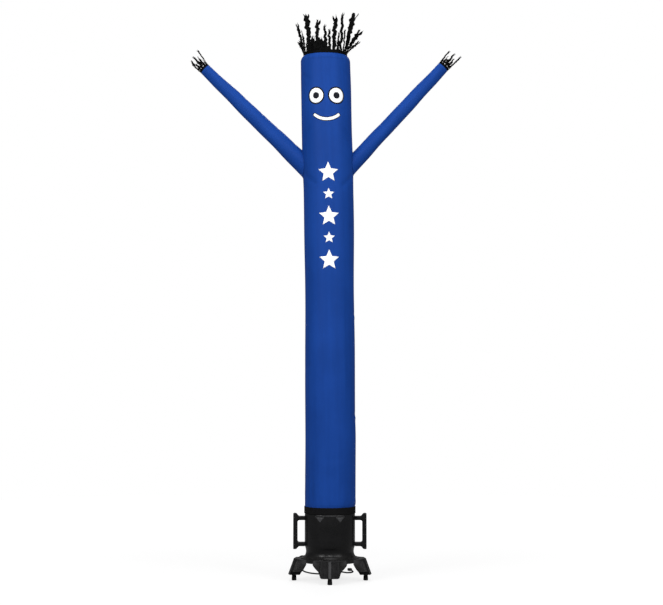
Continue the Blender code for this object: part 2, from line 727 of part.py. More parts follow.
def coil_points():
    """A neat coil: the lower layer winds inward, climbs at its middle, and the upper one winds out."""
    points = []
    for step in range(COIL_LOWER + COIL_CLIMB + COIL_UPPER + 1):
        inward = max(0, COIL_LOWER - step)
        outward = max(0, step - COIL_LOWER - COIL_CLIMB)
        radius = COIL_INNER + COIL_STEP * (inward + outward) / COIL_POINTS
        climbed = min(1.0, max(0.0, (step - COIL_LOWER) / COIL_CLIMB))
        turn = 2.0 * math.pi * step / COIL_POINTS - math.pi / 2.0
        points.append((COIL_CENTRE[0] + radius * math.cos(turn), COIL_CENTRE[1] + radius * math.sin(turn),
                       CORD_LIFT + COIL_LAYER * climbed))
    return points


def cord_route():
    """The whole route: straight out of the gland, down to the floor, the coil, and round to the plug."""
    frame = gland_frame()
    straight = [frame @ Vector((0.0, 0.0, GLAND_LENGTH + distance))
                for distance in (FIT, CORD_STRAIGHT / 2.0, CORD_STRAIGHT)]
    bent = list(CORD_LEAD) + coil_points() + list(CORD_TAIL)
    return straight + [Vector(point) for point in bent]


def cord(axis):
    route = cord_route()
    curve = bpy.data.curves.new("cord", "CURVE")
    curve.dimensions = "3D"
    curve.bevel_depth = CORD_RADIUS
    curve.bevel_resolution = 2
    curve.use_fill_caps = True
    curve.resolution_u = 1
    spline = curve.splines.new("POLY")
    spline.points.add(len(route) - 1)
    for point, place_at in zip(spline.points, route):
        point.co = (*place_at, 1.0)
    place("cord", curve, "black_cord", axis)
    return route


def plug(route, axis):
    """A moulded plug with two flat pins, lying on the floor in line with the cord's end."""
    heading = route[-1] - route[-2]
    heading.z = 0.0
    heading.normalize()
    start = route[-1] + heading * FIT
    start.z = PLUG_HEIGHT / 2.0 + FIT
    matrix = Matrix.Translation(start) @ heading.to_track_quat("Z", "Y").to_matrix().to_4x4()
    loops = []
    for along, wide, high in PLUG_SECTIONS:
        loop = []
        for k in range(PLUG_SIDES):
            turn = math.pi * (2 * k + 1) / PLUG_SIDES
            across, up = (math.copysign(abs(side) ** PLUG_SQUARENESS, side)
                          for side in (math.cos(turn), math.sin(turn)))
            loop.append((PLUG_WIDTH / 2.0 * wide * across, PLUG_HEIGHT / 2.0 * high * up, along))
        loops.append(loop)
    body = place("plug", loft("plug", loops), "black_moulding", axis, matrix)
    for side in (-1.0, 1.0):
        pin = bmesh.new()
        bmesh.ops.create_cube(pin, size=1.0)
        size = Vector((PIN_THICK, PIN_WIDTH, PIN_LENGTH + PIN_ROOT))
        bmesh.ops.scale(pin, vec=size, verts=pin.verts)
        middle = Vector((side * PIN_SPREAD / 2.0, 0.0, PLUG_LENGTH + (PIN_LENGTH - PIN_ROOT) / 2.0))
        bmesh.ops.translate(pin, vec=middle, verts=pin.verts)
        name = "plug_pin_" + ("a" if side < 0.0 else "b")
        tool = cutter(name, to_mesh(name, pin), axis, matrix)
        join = body.modifiers.new("join_" + name, "BOOLEAN")
        join.operation = "UNION"
        join.solver = "EXACT"
        join.object = tool


clear_scene()
fan_axis = bpy.data.objects.new("fan_axis", None)
fan_axis.location = (AXIS_X, 0.0, 0.0)
bpy.context.scene.collection.objects.link(fan_axis)

tube = body_tube(fan_axis)
trim = body_form(fan_axis)
for arm_side in ARMS:
    arm(arm_side, tube, trim, fan_axis)
    hand(arm_side, fan_axis)
hair(fan_axis)
fastening_strap(fan_axis)
blower_housing(fan_axis)
base_ring(fan_axis)
legs_and_feet(fan_axis)
handles(fan_axis)
intake_guard(fan_axis)
motor(fan_axis)
cord_gland(fan_axis)
cord_points = cord(fan_axis)
plug(cord_points, fan_axis)
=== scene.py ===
import random
from math import cos, pi, radians, sin, sqrt, tau

import bmesh
import bpy
import numpy as np
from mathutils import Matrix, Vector


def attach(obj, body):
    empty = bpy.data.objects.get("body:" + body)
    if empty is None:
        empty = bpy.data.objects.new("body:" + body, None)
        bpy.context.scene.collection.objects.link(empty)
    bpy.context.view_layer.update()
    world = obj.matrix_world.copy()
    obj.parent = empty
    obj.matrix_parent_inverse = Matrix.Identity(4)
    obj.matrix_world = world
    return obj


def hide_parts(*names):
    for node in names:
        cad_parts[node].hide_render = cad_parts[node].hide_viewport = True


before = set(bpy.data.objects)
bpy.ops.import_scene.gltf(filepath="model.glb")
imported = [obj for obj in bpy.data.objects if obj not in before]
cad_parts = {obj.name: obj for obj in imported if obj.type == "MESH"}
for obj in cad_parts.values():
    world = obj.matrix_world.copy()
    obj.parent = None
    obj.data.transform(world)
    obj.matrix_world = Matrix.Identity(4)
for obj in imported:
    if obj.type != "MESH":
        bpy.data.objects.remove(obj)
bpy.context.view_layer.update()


# ---- Feet
# Four plain rubber pins, moulded in one piece and pushed up into the legs.
# They carry the fan and keep its intake off the ground.

FAN_AXIS = 0.026           # the fan's upright axis is this far to the right of the origin
FOOT_OUT = 0.2165          # from the fan's axis to each pin
FOOT_PROFILE = (
    # height, radius
    (0.0, 0.0), (0.0, 0.0106), (0.0, 0.0122), (0.0004, 0.0133), (0.0016, 0.0141),
    (0.0040, 0.0143), (0.0120, 0.0143), (0.0200, 0.0139), (0.0270, 0.0131),
    (0.0325, 0.0128), (0.0360, 0.0130), (0.0372, 0.0128), (0.0372, 0.0),
)
QUARTERS = {"right": 0, "back": 1, "left": 2, "front": 3}
RUBBER_BLACK = (0.0030, 0.0030, 0.0031, 1.0)
DUST_GREY = (0.045, 0.043, 0.040, 1.0)


def full_turn(sides):
    """Even angles once round, the last one repeating the first."""
    return np.linspace(0.0, tau, sides + 1)


def ringed(radius, angle, height):
    """Points round an upright line: x and y are the radius times the angle's cosine and sine."""
    return np.stack(np.broadcast_arrays(radius * np.cos(angle), radius * np.sin(angle), height), axis=-1)


def turned(profile, angles):
    """Each (height, radius) row of a profile goes round an upright line."""
    height, radius = np.array(profile).T[:, :, None]
    return ringed(radius, angles, height)


def about_fan(grid, turn=0.0):
    """Turn points about the fan's axis, then carry them out to it from the origin."""
    x, y, z = np.moveaxis(grid, -1, 0)
    return np.stack((FAN_AXIS + x * cos(turn) - y * sin(turn), x * sin(turn) + y * cos(turn), z), axis=-1)


def skin(name, grid, maps=None, keep=None, sharp=None, outward=True):
    """Join neighbouring points of a (rows, columns, 3) grid with four-sided faces.

    Points that meet are merged, so a last column equal to the first closes the skin and a row of
    equal points makes a pole. keep drops faces, and maps adds UV maps measured in metres.
    """
    rows, columns = grid.shape[:2]
    index = np.arange(rows * columns).reshape(rows, columns)
    faces = np.stack((index[:-1, :-1], index[:-1, 1:], index[1:, 1:], index[1:, :-1]), axis=-1)
    faces = faces[keep] if keep is not None else faces.reshape(-1, 4)
    mesh = bpy.data.meshes.new(name)
    mesh.from_pydata(grid.reshape(-1, 3).tolist(), [], faces.tolist())
    for label, flat in (maps or {}).items():
        layer = mesh.uv_layers.new(name=label)
        layer.uv.foreach_set("vector", flat.reshape(-1, 2)[faces.ravel()].astype(np.float32).ravel())
    merge(mesh, outward)
    mesh.shade_smooth()
    if sharp is not None:
        mesh.set_sharp_from_angle(angle=radians(sharp))
    return mesh


def merge(mesh, outward):
    """Merge points that meet, drop what collapsed, and turn the faces of a closed skin outwards."""
    bm = bmesh.new()
    bm.from_mesh(mesh)
    bmesh.ops.remove_doubles(bm, verts=bm.verts, dist=2e-6)
    bmesh.ops.dissolve_degenerate(bm, edges=bm.edges, dist=1e-7)
    loose = [vert for vert in bm.verts if not vert.link_faces]
    bmesh.ops.delete(bm, geom=loose, context="VERTS")
    if outward:
        bmesh.ops.recalc_face_normals(bm, faces=bm.faces)
    bm.to_mesh(mesh)
    bm.free()


def added(name, data):
    """A new object in the scene."""
    item = bpy.data.objects.new(name, data)
    bpy.context.scene.collection.objects.link(item)
    return item


def set_in_place(name, mesh, material, slot, *nodes):
    """Make a mesh a finished piece that stands for CAD nodes and rides on the one body."""
    piece = added(name, mesh)
    mesh.materials.append(material)
    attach(piece, "root")
    if nodes:
        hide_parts(*nodes)
    return piece


def fitted(name, grid, material, slot, *nodes, **how):
    """Skin a grid and set it in place under one name."""
    return set_in_place(name, skin(name, grid, **how), material, slot, *nodes)


def feed(tree, fed, inputs):
    """Give a node's inputs values or links."""
    for key, value in inputs.items():
        if isinstance(value, bpy.types.NodeSocket):
            tree.links.new(value, fed.inputs[key])
        else:
            fed.inputs[key].default_value = value


def node(tree, kind, inputs=None, **settings):
    """Add a shader node, make its settings, and feed its inputs."""
    new = tree.nodes.new("ShaderNode" + kind)
    for key, value in settings.items():
        setattr(new, key, value)
    feed(tree, new, inputs or {})
    return new


def maths(tree, operation, *values, clamp=False):
    """One sum on numbers or links, and its result."""
    return node(tree, "Math", dict(enumerate(values)), operation=operation, use_clamp=clamp).outputs[0]


def times(tree, first, second):
    """The product of two numbers or links."""
    return maths(tree, "MULTIPLY", first, second)


def plus(tree, start, mask, share):
    """A start value with a share of a mask added to it."""
    return maths(tree, "ADD", start, times(tree, mask, share))


def between(tree, value, low, high, to_low=0.0, to_high=1.0):
    """Spread the range low to high over to_low to to_high, with soft ends."""
    inputs = {"Value": value, "From Min": low, "From Max": high, "To Min": to_low, "To Max": to_high}
    return node(tree, "MapRange", inputs, interpolation_type="SMOOTHSTEP").outputs["Result"]


def noise(tree, place, scale, detail=2.0, rough=0.5):
    """Cloudy noise at a place: scale clouds to a metre, with detail ever finer layers on them."""
    inputs = {"Vector": place, "Scale": scale, "Detail": detail, "Roughness": rough}
    return node(tree, "TexNoise", inputs).outputs["Fac"]


def split(tree, vector):
    """A vector's three numbers."""
    return node(tree, "SeparateXYZ", {0: vector}).outputs


def on_piece(tree):
    """The place on the piece itself, in metres."""
    return node(tree, "TexCoord").outputs["Object"]


def mixed(tree, share, first, second):
    """Blend two colours by a mask."""
    return node(tree, "Mix", {0: share, 6: first, 7: second}, data_type="RGBA").outputs[2]


def effect(name, **inputs):
    """An empty effect group and its named inputs: a vector where the value is None, else a number."""
    group = bpy.data.node_groups.new(name, "ShaderNodeTree")
    for label, value in inputs.items():
        kind = "NodeSocketVector" if value is None else "NodeSocketFloat"
        socket = group.interface.new_socket(name=label, in_out="INPUT", socket_type=kind)
        if value is not None:
            socket.default_value = value
    return group, group.nodes.new("NodeGroupInput").outputs


def giving(group, **results):
    """The effect group with a named output for each of its results."""
    for label in results:
        group.interface.new_socket(name=label, in_out="OUTPUT", socket_type="NodeSocketFloat")
    outputs = group.nodes.new("NodeGroupOutput").inputs
    for label, result in results.items():
        group.links.new(result, outputs[label])
    return group


def moulded_grain():
    """Fine pebbled skin of a moulding, with slow cloudy patches where the tool has worn."""
    group, given = effect("moulded_grain", Position=None, Pebble=0.0012)
    pebble = noise(group, given["Position"], maths(group, "DIVIDE", 1.0, given["Pebble"]), 3.0, 0.6)
    cloud = noise(group, given["Position"], 16.0, 4.0, 0.55)
    return giving(group, Height=pebble, Cloud=between(group, cloud, 0.32, 0.70))


def edge_wear():
    """Where an edge is rubbed paler: sharp convex places, broken up by noise."""
    group, given = effect("edge_wear", Position=None, Reach=0.04)
    point = node(group, "NewGeometry").outputs["Pointiness"]
    rubbed = between(group, point, 0.503, maths(group, "ADD", 0.5, given["Reach"]))
    broken = between(group, noise(group, given["Position"], 70.0, 5.0), 0.36, 0.62)
    return giving(group, Mask=times(group, rubbed, broken))


def settled_dust():
    """A pale film on faces that look up, thickest low down, broken up by noise."""
    group, given = effect("settled_dust", Position=None, Clear=0.5)
    facing = between(group, split(group, node(group, "NewGeometry").outputs["Normal"])["Z"], 0.15, 0.95)
    height = maths(group, "DIVIDE", split(group, given["Position"])["Z"], given["Clear"], clamp=True)
    speck = between(group, noise(group, given["Position"], 120.0, 6.0, 0.7), 0.38, 0.66)
    low = maths(group, "SUBTRACT", 1.0, height)
    return giving(group, Mask=times(group, times(group, facing, low), speck))


GRAIN, WEAR, DUST = moulded_grain(), edge_wear(), settled_dust()


def bare(name):
    """A new material, and its tree."""
    material = bpy.data.materials.new(name)
    material.use_nodes = True
    return material, material.node_tree


def dress(tree, base, rough, height, strength, distance, specular, metal=0.0):
    """Give the shader its colour and roughness, a relief of that strength and depth, and how strongly
    it mirrors."""
    bump = node(tree, "Bump", {"Height": height, "Strength": strength,
                               "Distance": distance}).outputs["Normal"]
    feed(tree, tree.nodes["Principled BSDF"], {"Base Color": base, "Roughness": rough, "Normal": bump,
                                               "Specular IOR Level": specular, "Metallic": metal})


def plastic(name, colour, worn, dusty=DUST_GREY, roughness=0.3, pebble=0.0011, relief=0.00012,
            wear=0.5, dust=0.35, specular=0.4, metal=0.0):
    """A moulded finish: grain in the relief, paler worn edges, a dusty film, and cloudy gloss."""
    material, tree = bare(name)
    place = on_piece(tree)
    grain = node(tree, "Group", {"Position": place, "Pebble": pebble}, node_tree=GRAIN).outputs
    edge, film = (node(tree, "Group", {"Position": place}, node_tree=group).outputs["Mask"]
                  for group in (WEAR, DUST))
    filmed = times(tree, film, dust)
    clouded = tuple(channel * 1.35 for channel in colour[:3]) + (1.0,)
    base = mixed(tree, grain["Cloud"], colour, clouded)
    base = mixed(tree, filmed, mixed(tree, times(tree, edge, wear), base, worn), dusty)
    gloss = plus(tree, plus(tree, roughness - 0.04, grain["Cloud"], 0.09), filmed, 0.3)
    dress(tree, base, gloss, grain["Height"], 0.5, relief, specular, metal)
    return material


black_rubber = plastic("black_rubber", RUBBER_BLACK, (0.020, 0.020, 0.020, 1.0), (0.050, 0.048, 0.044, 1.0),
                       roughness=0.66, pebble=0.0008, relief=0.00015, wear=0.25, dust=0.5, specular=0.12)
for side, quarter in QUARTERS.items():
    pin = about_fan(turned(FOOT_PROFILE, full_turn(32)) + (FOOT_OUT, 0.0, 0.0), quarter * pi / 2.0)
    fitted("pin_" + side, pin, black_rubber, "black_rubber", "foot_" + side, sharp=50.0)


# ---- Legs
# Four broad wedge-shaped legs in black moulded plastic, each with a flat rib down its middle,
# a hollow panel in both cheeks and a toe with rounded corners. They bolt against the base ring.

LEG_TOP_OUT, LEG_TOE_OUT, LEG_HEEL_OUT = 0.2140, 0.2490, 0.1810
LEG_TOP, LEG_LOW = 0.1340, 0.0375
LEG_HALF_TOP, LEG_HALF_LOW = 0.0550, 0.0600
LEG_CORNER, LEG_CORNER_FROM = 0.0140, 0.76     # the toe's corner radius, and where across the leg it starts
LEG_RIB, LEG_RIB_SHARE, LEG_RIB_SIDE, LEG_CROWN = 0.0035, 0.15, 0.02, 0.0070
LEG_SLICES = (0.0, 0.08, 0.14, 0.155, 0.175, 0.30, 0.45, 0.60, 0.72)   # places of the slices from the middle
LEG_EDGE, LEG_SOFT_EDGE = 0.0030, 0.0008       # the outline's corner radius, and the sharp edges' own
LEG_ROOT = np.array((
    # height on the ring's wall, how much wider the leg is there than its face
    (LEG_TOP, 1.75), (0.1180, 1.82), (0.1080, 1.84), (0.0980, 1.72), (0.0860, 1.52), (0.0700, 1.22),
))
CHEEK_RIM, CHEEK_STEP, CHEEK_DEEP = 0.14, 0.06, 0.0030   # shares left as a rim and a step; its depth,
CHEEK_HALF_WAY, CHEEK_MIDDLE = (0.6, 1.25), 1.35         # and times deeper half way in and in the middle
CHEEK_ROWS, RIB_ROWS = 3, 2                    # rows of points in a cheek's panel and to each side in the rib
ROOT_OUT, ROOT_LOW = 0.2150, 0.0850            # the roots get a painted highlight inside and above here, come to it over these distances, and are so many times as pale as the rib's painted highlight
ROOT_OUT_FADE, ROOT_LOW_FADE = 0.0350, 0.0300  # come to it over these distances,
ROOT_HIGHLIGHT = 1.25                              # and are so many times as pale as the rib
RING_RADIUS, RING_LOW = 0.1740, 0.1000
SEAT_GAP = 0.0003
MOULDING_BLACK, MOULDING_WORN = (0.0019, 0.0019, 0.0022, 1.0), (0.022, 0.022, 0.023, 1.0)
# The rib's grey is a painted highlight, and the cheeks' dark and pale tones make a speckle painted as the
# grained cheeks' highlight.
RIB_HIGHLIGHT_GREY, CHEEK_DARK, CHEEK_HIGHLIGHT_PALE = (
    (0.046, 0.046, 0.048, 1.0), (0.009, 0.009, 0.010, 1.0), (0.042, 0.041, 0.040, 1.0))

black_moulding = plastic("black_moulding", MOULDING_BLACK, MOULDING_WORN, roughness=0.30, specular=0.22)


def softened(corners, radius, steps=3):
    """Round a closed outline: each corner becomes a quadratic curve that starts and ends one radius
    away from it along its two sides, or just under half-way on a short side."""
    corners = np.asarray(corners, dtype=float)
    ends = []
    for neighbour in (np.roll(corners, 1, axis=-2), np.roll(corners, -1, axis=-2)):
        side = neighbour - corners
        length = np.maximum(np.linalg.norm(side, axis=-1, keepdims=True), 1e-9)
        ends.append(corners + side * np.minimum(radius / length, 0.46))
    start, end = (points[..., None, :] for points in ends)
    t = np.linspace(0.0, 1.0, steps + 1)[:, None]
    curve = (1.0 - t) ** 2 * start + 2.0 * t * (1.0 - t) * corners[..., None, :] + t ** 2 * end
    outline = curve.reshape(*corners.shape[:-2], -1, corners.shape[-1])
    return np.concatenate((outline, outline[..., :1, :]), axis=-2)


def leg_grid():
    """Upright slices from one cheek to the other.

    A slice at share s has the corners of the leg's side view. Away from the rib the face falls back
    as the square of s, and the toe lifts by a quarter circle near the cheeks. The root's corners lie
    on the ring's round wall, each as many times wider than the face as LEG_ROOT says.
    """
    corner = LEG_CORNER_FROM + (1.0 - LEG_CORNER_FROM) * np.sin(np.linspace(0.0, pi / 2.0, 8))
    half = np.concatenate((LEG_SLICES, corner))
    share = np.concatenate((-half[:0:-1], half))
    by_rib = np.clip((LEG_RIB_SHARE + LEG_RIB_SIDE - np.abs(share)) / LEG_RIB_SIDE, 0.0, 1.0)
    rib = LEG_RIB * by_rib - LEG_CROWN * share ** 2
    rounding = np.clip((np.abs(share) - LEG_CORNER_FROM) / (1.0 - LEG_CORNER_FROM), 0.0, 1.0)
    lift = LEG_CORNER * (1.0 - np.sqrt(np.maximum(0.0, 1.0 - rounding ** 2)))
    low = LEG_LOW + lift
    toe = LEG_TOE_OUT - lift * (LEG_TOE_OUT - LEG_TOP_OUT) / (LEG_TOP - LEG_LOW)
    level = np.ones_like(share)
    root = level[:, None] * LEG_ROOT[:, 0]
    heights = np.concatenate(
        (root[:, :1], np.stack((level * LEG_TOP, low, low), axis=-1), root[:, :0:-1]), axis=1)
    across = share[:, None] * (
        LEG_HALF_TOP + (LEG_HALF_LOW - LEG_HALF_TOP) * (LEG_TOP - heights) / (LEG_TOP - LEG_LOW))
    across[:, 0] *= LEG_ROOT[0, 1]
    across[:, 4:] *= LEG_ROOT[:0:-1, 1]
    outs = np.sqrt(np.maximum(0.0, (RING_RADIUS + SEAT_GAP) ** 2 - across ** 2))
    outs[:, 1:4] = np.stack((LEG_TOP_OUT + rib, toe + rib, LEG_HEEL_OUT * level), axis=-1)
    slices = softened(np.stack((outs, across, heights), axis=-1), LEG_EDGE)
    return np.concatenate((cheek(slices[0], 1.0), slices, cheek(slices[-1], -1.0)[::-1]))


def cheek(edge, inward):
    """Close one side of a leg: from its middle, a hollow panel, a step up, and a flat rim."""
    middle = edge[:-1].mean(axis=0)
    step = np.array((0.0, inward * CHEEK_DEEP, 0.0))
    rim = edge + (middle - edge) * CHEEK_RIM
    floor = edge + (middle - edge) * (CHEEK_RIM + CHEEK_STEP) + step
    half_way = edge + (middle - edge) * CHEEK_HALF_WAY[0] + step * CHEEK_HALF_WAY[1]
    return np.stack((np.broadcast_to(middle + step * CHEEK_MIDDLE, edge.shape), half_way, floor, rim))


def cloth_map(tree, label="cloth"):
    """The piece's flat map of that name, in metres."""
    return node(tree, "UVMap", uv_map=label).outputs["UV"]


leg_moulding = plastic("leg_moulding", MOULDING_BLACK, MOULDING_WORN, roughness=0.36, specular=0.07)
legs_tree = leg_moulding.node_tree
legs_colour = legs_tree.nodes["Principled BSDF"].inputs["Base Color"]
smooth_colour = legs_colour.links[0].from_socket
parts = split(legs_tree, cloth_map(legs_tree, "parts"))
speckle = between(legs_tree, noise(legs_tree, on_piece(legs_tree), 260.0), 0.38, 0.62)
# The rib is painted a paler grey as its highlight.
rib_highlighted = mixed(legs_tree, times(legs_tree, parts["Y"], 0.8), smooth_colour, RIB_HIGHLIGHT_GREY)
# The cheeks get a speckle painted much paler than the moulding, as the highlight on their grained plastic.
highlight_speckle = mixed(legs_tree, speckle, CHEEK_DARK, CHEEK_HIGHLIGHT_PALE)
legs_tree.links.new(mixed(legs_tree, parts["X"], rib_highlighted, highlight_speckle), legs_colour)

grid = leg_grid()
middle = grid.shape[0] // 2
# Where the roots near the ring are painted paler as a highlight.
root_highlight = (np.clip((ROOT_OUT - np.hypot(grid[..., 0], grid[..., 1])) / ROOT_OUT_FADE, 0.0, 1.0)
           * np.clip((grid[..., 2] - ROOT_LOW) / ROOT_LOW_FADE, 0.0, 1.0))
# The map's Y paints the rib's highlight and the roots' highlight; X marks the cheeks, whose speckle is painted
# as their highlight.
parts_map = np.zeros(grid.shape[:2] + (2,))
parts_map[:CHEEK_ROWS, :, 0] = parts_map[-CHEEK_ROWS:, :, 0] = 1.0
parts_map[..., 0] *= 1.0 - root_highlight
parts_map[..., 1] = ROOT_HIGHLIGHT * root_highlight
parts_map[middle - RIB_ROWS:middle + RIB_ROWS + 1, :, 1] = 1.0
for side, quarter in QUARTERS.items():
    piece = fitted("wedge_leg_" + side, about_fan(grid, quarter * pi / 2.0), leg_moulding, "black_moulding",
                   "leg_" + side, maps={"parts": parts_map}, sharp=38.0)
    edges = piece.modifiers.new("edges", "BEVEL")
    edges.width, edges.segments, edges.limit_method, edges.angle_limit = (
        LEG_SOFT_EDGE, 2, "ANGLE", radians(50.0))


# ---- Base ring
# The plate and arched skirt under the fan, one black moulding that joins the four legs.
# The skirt is cut up in an arch between each two legs so that air can reach the intake.

RING_TOP, RING_PLATE, RING_BORE = 0.1390, 0.0040, 0.1450
SKIRT_WALL, ARCH_TOP, RING_EDGE = 0.0050, 0.1130, 0.0016
ARCH_FROM, ARCH_STEEP = 0.35, 1.60

turn = full_turn(240)
arch = np.minimum(1.0, ARCH_STEEP * np.sqrt(np.maximum(0.0, np.abs(np.sin(2.0 * turn)) - ARCH_FROM)))
skirt_low = RING_LOW + (ARCH_TOP - RING_LOW) * arch
plate_low = RING_TOP - RING_PLATE
ring_radii = np.repeat((RING_RADIUS, RING_BORE, RING_RADIUS - SKIRT_WALL), 2)
ring_heights = np.stack(
    np.broadcast_arrays(skirt_low, RING_TOP, RING_TOP, plate_low, plate_low, skirt_low), axis=-1)
ring = about_fan(softened(ringed(ring_radii, turn[:, None], ring_heights), RING_EDGE))
fitted("skirted_ring", ring, black_moulding, "black_moulding", "base_ring", sharp=38.0)


# ---- Intake guard and motor
# A flat moulded grille keeps fingers out of the fan from below; the motor, a painted steel drum,
# stands on it inside the duct. Both keep their solids' shapes and get a finish of their own.

dark_steel = plastic("dark_steel", (0.055, 0.055, 0.060, 1.0), (0.30, 0.30, 0.30, 1.0),
                     (0.17, 0.16, 0.14, 1.0),
                     roughness=0.46, pebble=0.0022, relief=0.00008, wear=0.7, specular=0.5, metal=0.55)
for name, material in (("intake_guard", black_moulding), ("motor", dark_steel)):
    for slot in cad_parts[name].material_slots:
        slot.material = material


# ---- Fan housing
# One black moulding turned about the fan's axis: a flared bell mouth at the foot, a plain drum,
# and a narrower collar that the cloth tube is pulled over. It sits on the base ring.

DRUM_RADIUS = 0.1525
BELL_PROFILE = np.array((
    # height, outer radius
    (0.1430, 0.1588), (0.1480, 0.1540), (0.1600, 0.1472), (0.1760, 0.1444),
    (0.1920, 0.1460), (0.2070, 0.1510), (0.2160, DRUM_RADIUS),
))
DUCT_PROFILE = np.array((
    # height, inner radius
    (0.1393, 0.1585), (0.1560, 0.1430), (0.1760, 0.1376), (0.2160, 0.1450), (0.4380, 0.1425),
))
FOOT_LIP = ((0.1393, 0.1612), (0.1399, 0.1625), (0.1408, 0.1624))
COLLAR = (
    (0.3000, DRUM_RADIUS), (0.3985, DRUM_RADIUS), (0.4008, 0.1523), (0.4021, 0.1518), (0.4028, 0.1508),
    (0.4045, 0.1503), (0.4300, 0.1503), (0.4352, 0.1499), (0.4374, 0.1489), (0.4380, 0.1477),
    (0.4380, 0.1450),
)


def flowing(at, knots, values):
    """A smooth curve through the knots that never overshoots: a knot's slope is the harmonic mean of
    the slopes on its two sides, or level at a turning point, and cubic pieces join the knots."""
    run = np.diff(knots)
    slope = np.diff(values) / run
    product, total = slope[:-1] * slope[1:], slope[:-1] + slope[1:]
    inner = np.where(product > 0.0, 2.0 * product / np.where(product > 0.0, total, 1.0), 0.0)
    slopes = np.concatenate((slope[:1], inner, slope[-1:]))
    k = np.clip(np.searchsorted(knots, at, side="right") - 1, 0, len(run) - 1)
    t = np.clip((at - knots[k]) / run[k], 0.0, 1.0)
    start = (2.0 * t ** 3 - 3.0 * t ** 2 + 1.0) * values[k] + (t ** 3 - 2.0 * t ** 2 + t) * run[k] * slopes[k]
    end = (3.0 * t ** 2 - 2.0 * t ** 3) * values[k + 1] + (t ** 3 - t ** 2) * run[k] * slopes[k + 1]
    return start + end


bell_heights = np.linspace(BELL_PROFILE[0, 0], BELL_PROFILE[-1, 0], 22)
bell = np.stack((bell_heights, flowing(bell_heights, *BELL_PROFILE.T)), axis=-1)
duct_heights = np.linspace(DUCT_PROFILE[-1, 0], DUCT_PROFILE[0, 0], 26)
duct = np.stack((duct_heights, flowing(duct_heights, *DUCT_PROFILE.T)), axis=-1)
wall = np.concatenate((FOOT_LIP, bell, COLLAR, duct, FOOT_LIP[:1]))
fitted("turned_housing", about_fan(turned(wall, full_turn(128))), black_moulding, "black_moulding",
       "blower_housing", sharp=40.0)


# ---- Lugs on the housing's front
# Two small three-cornered gussets under a shallow raised lip, moulded with the drum.
# They stand a few millimetres proud and taper down to a point.

LUG_ANGLES = (-112.8, -66.2)                   # in degrees about the fan's axis, 0 to the right
LUG_TOP, LUG_LOW, LUG_HALF = 0.3900, 0.3600, 0.0280
LUG_PROUD, LUG_SUNK = 0.0070, 0.0004           # how far they stand out, and how far their edges are sunk
LUG_NARROWS, LUG_THINS = 0.93, 0.55            # shares of the width and of the relief lost by the foot
LUG_SOFT = (0.30, 0.10, 0.15)                  # how softly it ends at its sides, top and foot
LIP_HALF_ANGLE, LIP_TOP, LIP_LOW = 36.0, 0.4032, 0.3915
LIP_PROUD, LIP_SUNK, LIP_DROOP = 0.0026, 0.0022, 0.010
LIP_DROOP_FROM, LIP_FADE = 0.80, 0.06
PATCH_ROOT = 0.0032                            # how deep their backs lie in the wall


def smooth_step(x):
    """0 below 0, 1 above 1, and between them three times the square less twice the cube."""
    t = np.clip(x, 0.0, 1.0)
    return t * t * (3.0 - 2.0 * t)


def on_drum(angle, height, proud):
    """A point so far proud of the drum's wall; angles in radians."""
    return ringed(DRUM_RADIUS + proud, angle, height)


def lug_grid(middle):
    """A wedge: it narrows from top to foot, and its relief falls away as a smooth step at its sides."""
    u, v = np.meshgrid(np.linspace(-1.0, 1.0, 25), np.linspace(0.0, 1.0, 17))
    half = LUG_HALF * (1.0 - LUG_NARROWS * v)
    sides, top, foot = LUG_SOFT
    rim = (smooth_step((1.0 - np.abs(u)) / sides)
           * np.clip(v / top, 0.0, 1.0) * np.clip((1.0 - v) / foot, 0.0, 1.0))
    proud = -LUG_SUNK + (LUG_PROUD * (1.0 - LUG_THINS * v) + LUG_SUNK) * rim
    return on_drum(radians(middle) + u * half / DRUM_RADIUS, LUG_TOP + (LUG_LOW - LUG_TOP) * v, proud)


def lip_grid():
    """A shallow bar round the drum's front: half an ellipse in section, drawn down and faded at its ends."""
    u, v = np.meshgrid(np.linspace(-1.0, 1.0, 97), np.linspace(-1.0, 1.0, 13))
    droop = LIP_DROOP * np.clip((np.abs(u) - LIP_DROOP_FROM) / (1.0 - LIP_DROOP_FROM), 0.0, 1.0) ** 2
    fade = np.sqrt(np.clip((1.0 - np.abs(u)) / LIP_FADE, 0.0, 1.0))
    middle, half = (LIP_TOP + LIP_LOW) / 2.0, (LIP_TOP - LIP_LOW) / 2.0
    proud = -LIP_SUNK + (LIP_PROUD + LIP_SUNK) * np.sqrt(np.maximum(0.0, 1.0 - v * v)) * fade
    return on_drum(radians(-90.0) + u * radians(LIP_HALF_ANGLE), middle + half * v - droop, proud)


def backed(front):
    """Close a patch on the drum with a back face inside the wall, which meets its first and last rows."""
    back = front.copy()
    back[1:-1, :, :2] *= (
        (DRUM_RADIUS - PATCH_ROOT) / np.hypot(back[1:-1, :, 0], back[1:-1, :, 1]))[..., None]
    return np.concatenate((front, back[:, ::-1], front[:, :1]), axis=1)


# The lugs and the lip are painted paler than the drum as their highlights.
lug_highlight_moulding = plastic("lug_highlight_moulding", (0.034, 0.034, 0.036, 1.0), (0.075, 0.075, 0.078, 1.0),
                          (0.055, 0.053, 0.050, 1.0), roughness=0.40, specular=0.25)
lip_highlight_moulding = plastic("lip_highlight_moulding", (0.016, 0.016, 0.017, 1.0), (0.036, 0.036, 0.037, 1.0),
                        roughness=0.34, specular=0.25)
for name, grid, finish in (("left_lug", lug_grid(LUG_ANGLES[0]), lug_highlight_moulding),
                           ("right_lug", lug_grid(LUG_ANGLES[1]), lug_highlight_moulding),
                           ("raised_lip", lip_grid(), lip_highlight_moulding)):
    fitted(name, about_fan(backed(grid)), finish, "black_moulding", sharp=60.0)


# ---- Grab handles
# Two bows in the same black plastic, an upright bar with flared ends on two struts.
# Each is moulded with edges rounded for the hand and screwed to the drum's side.

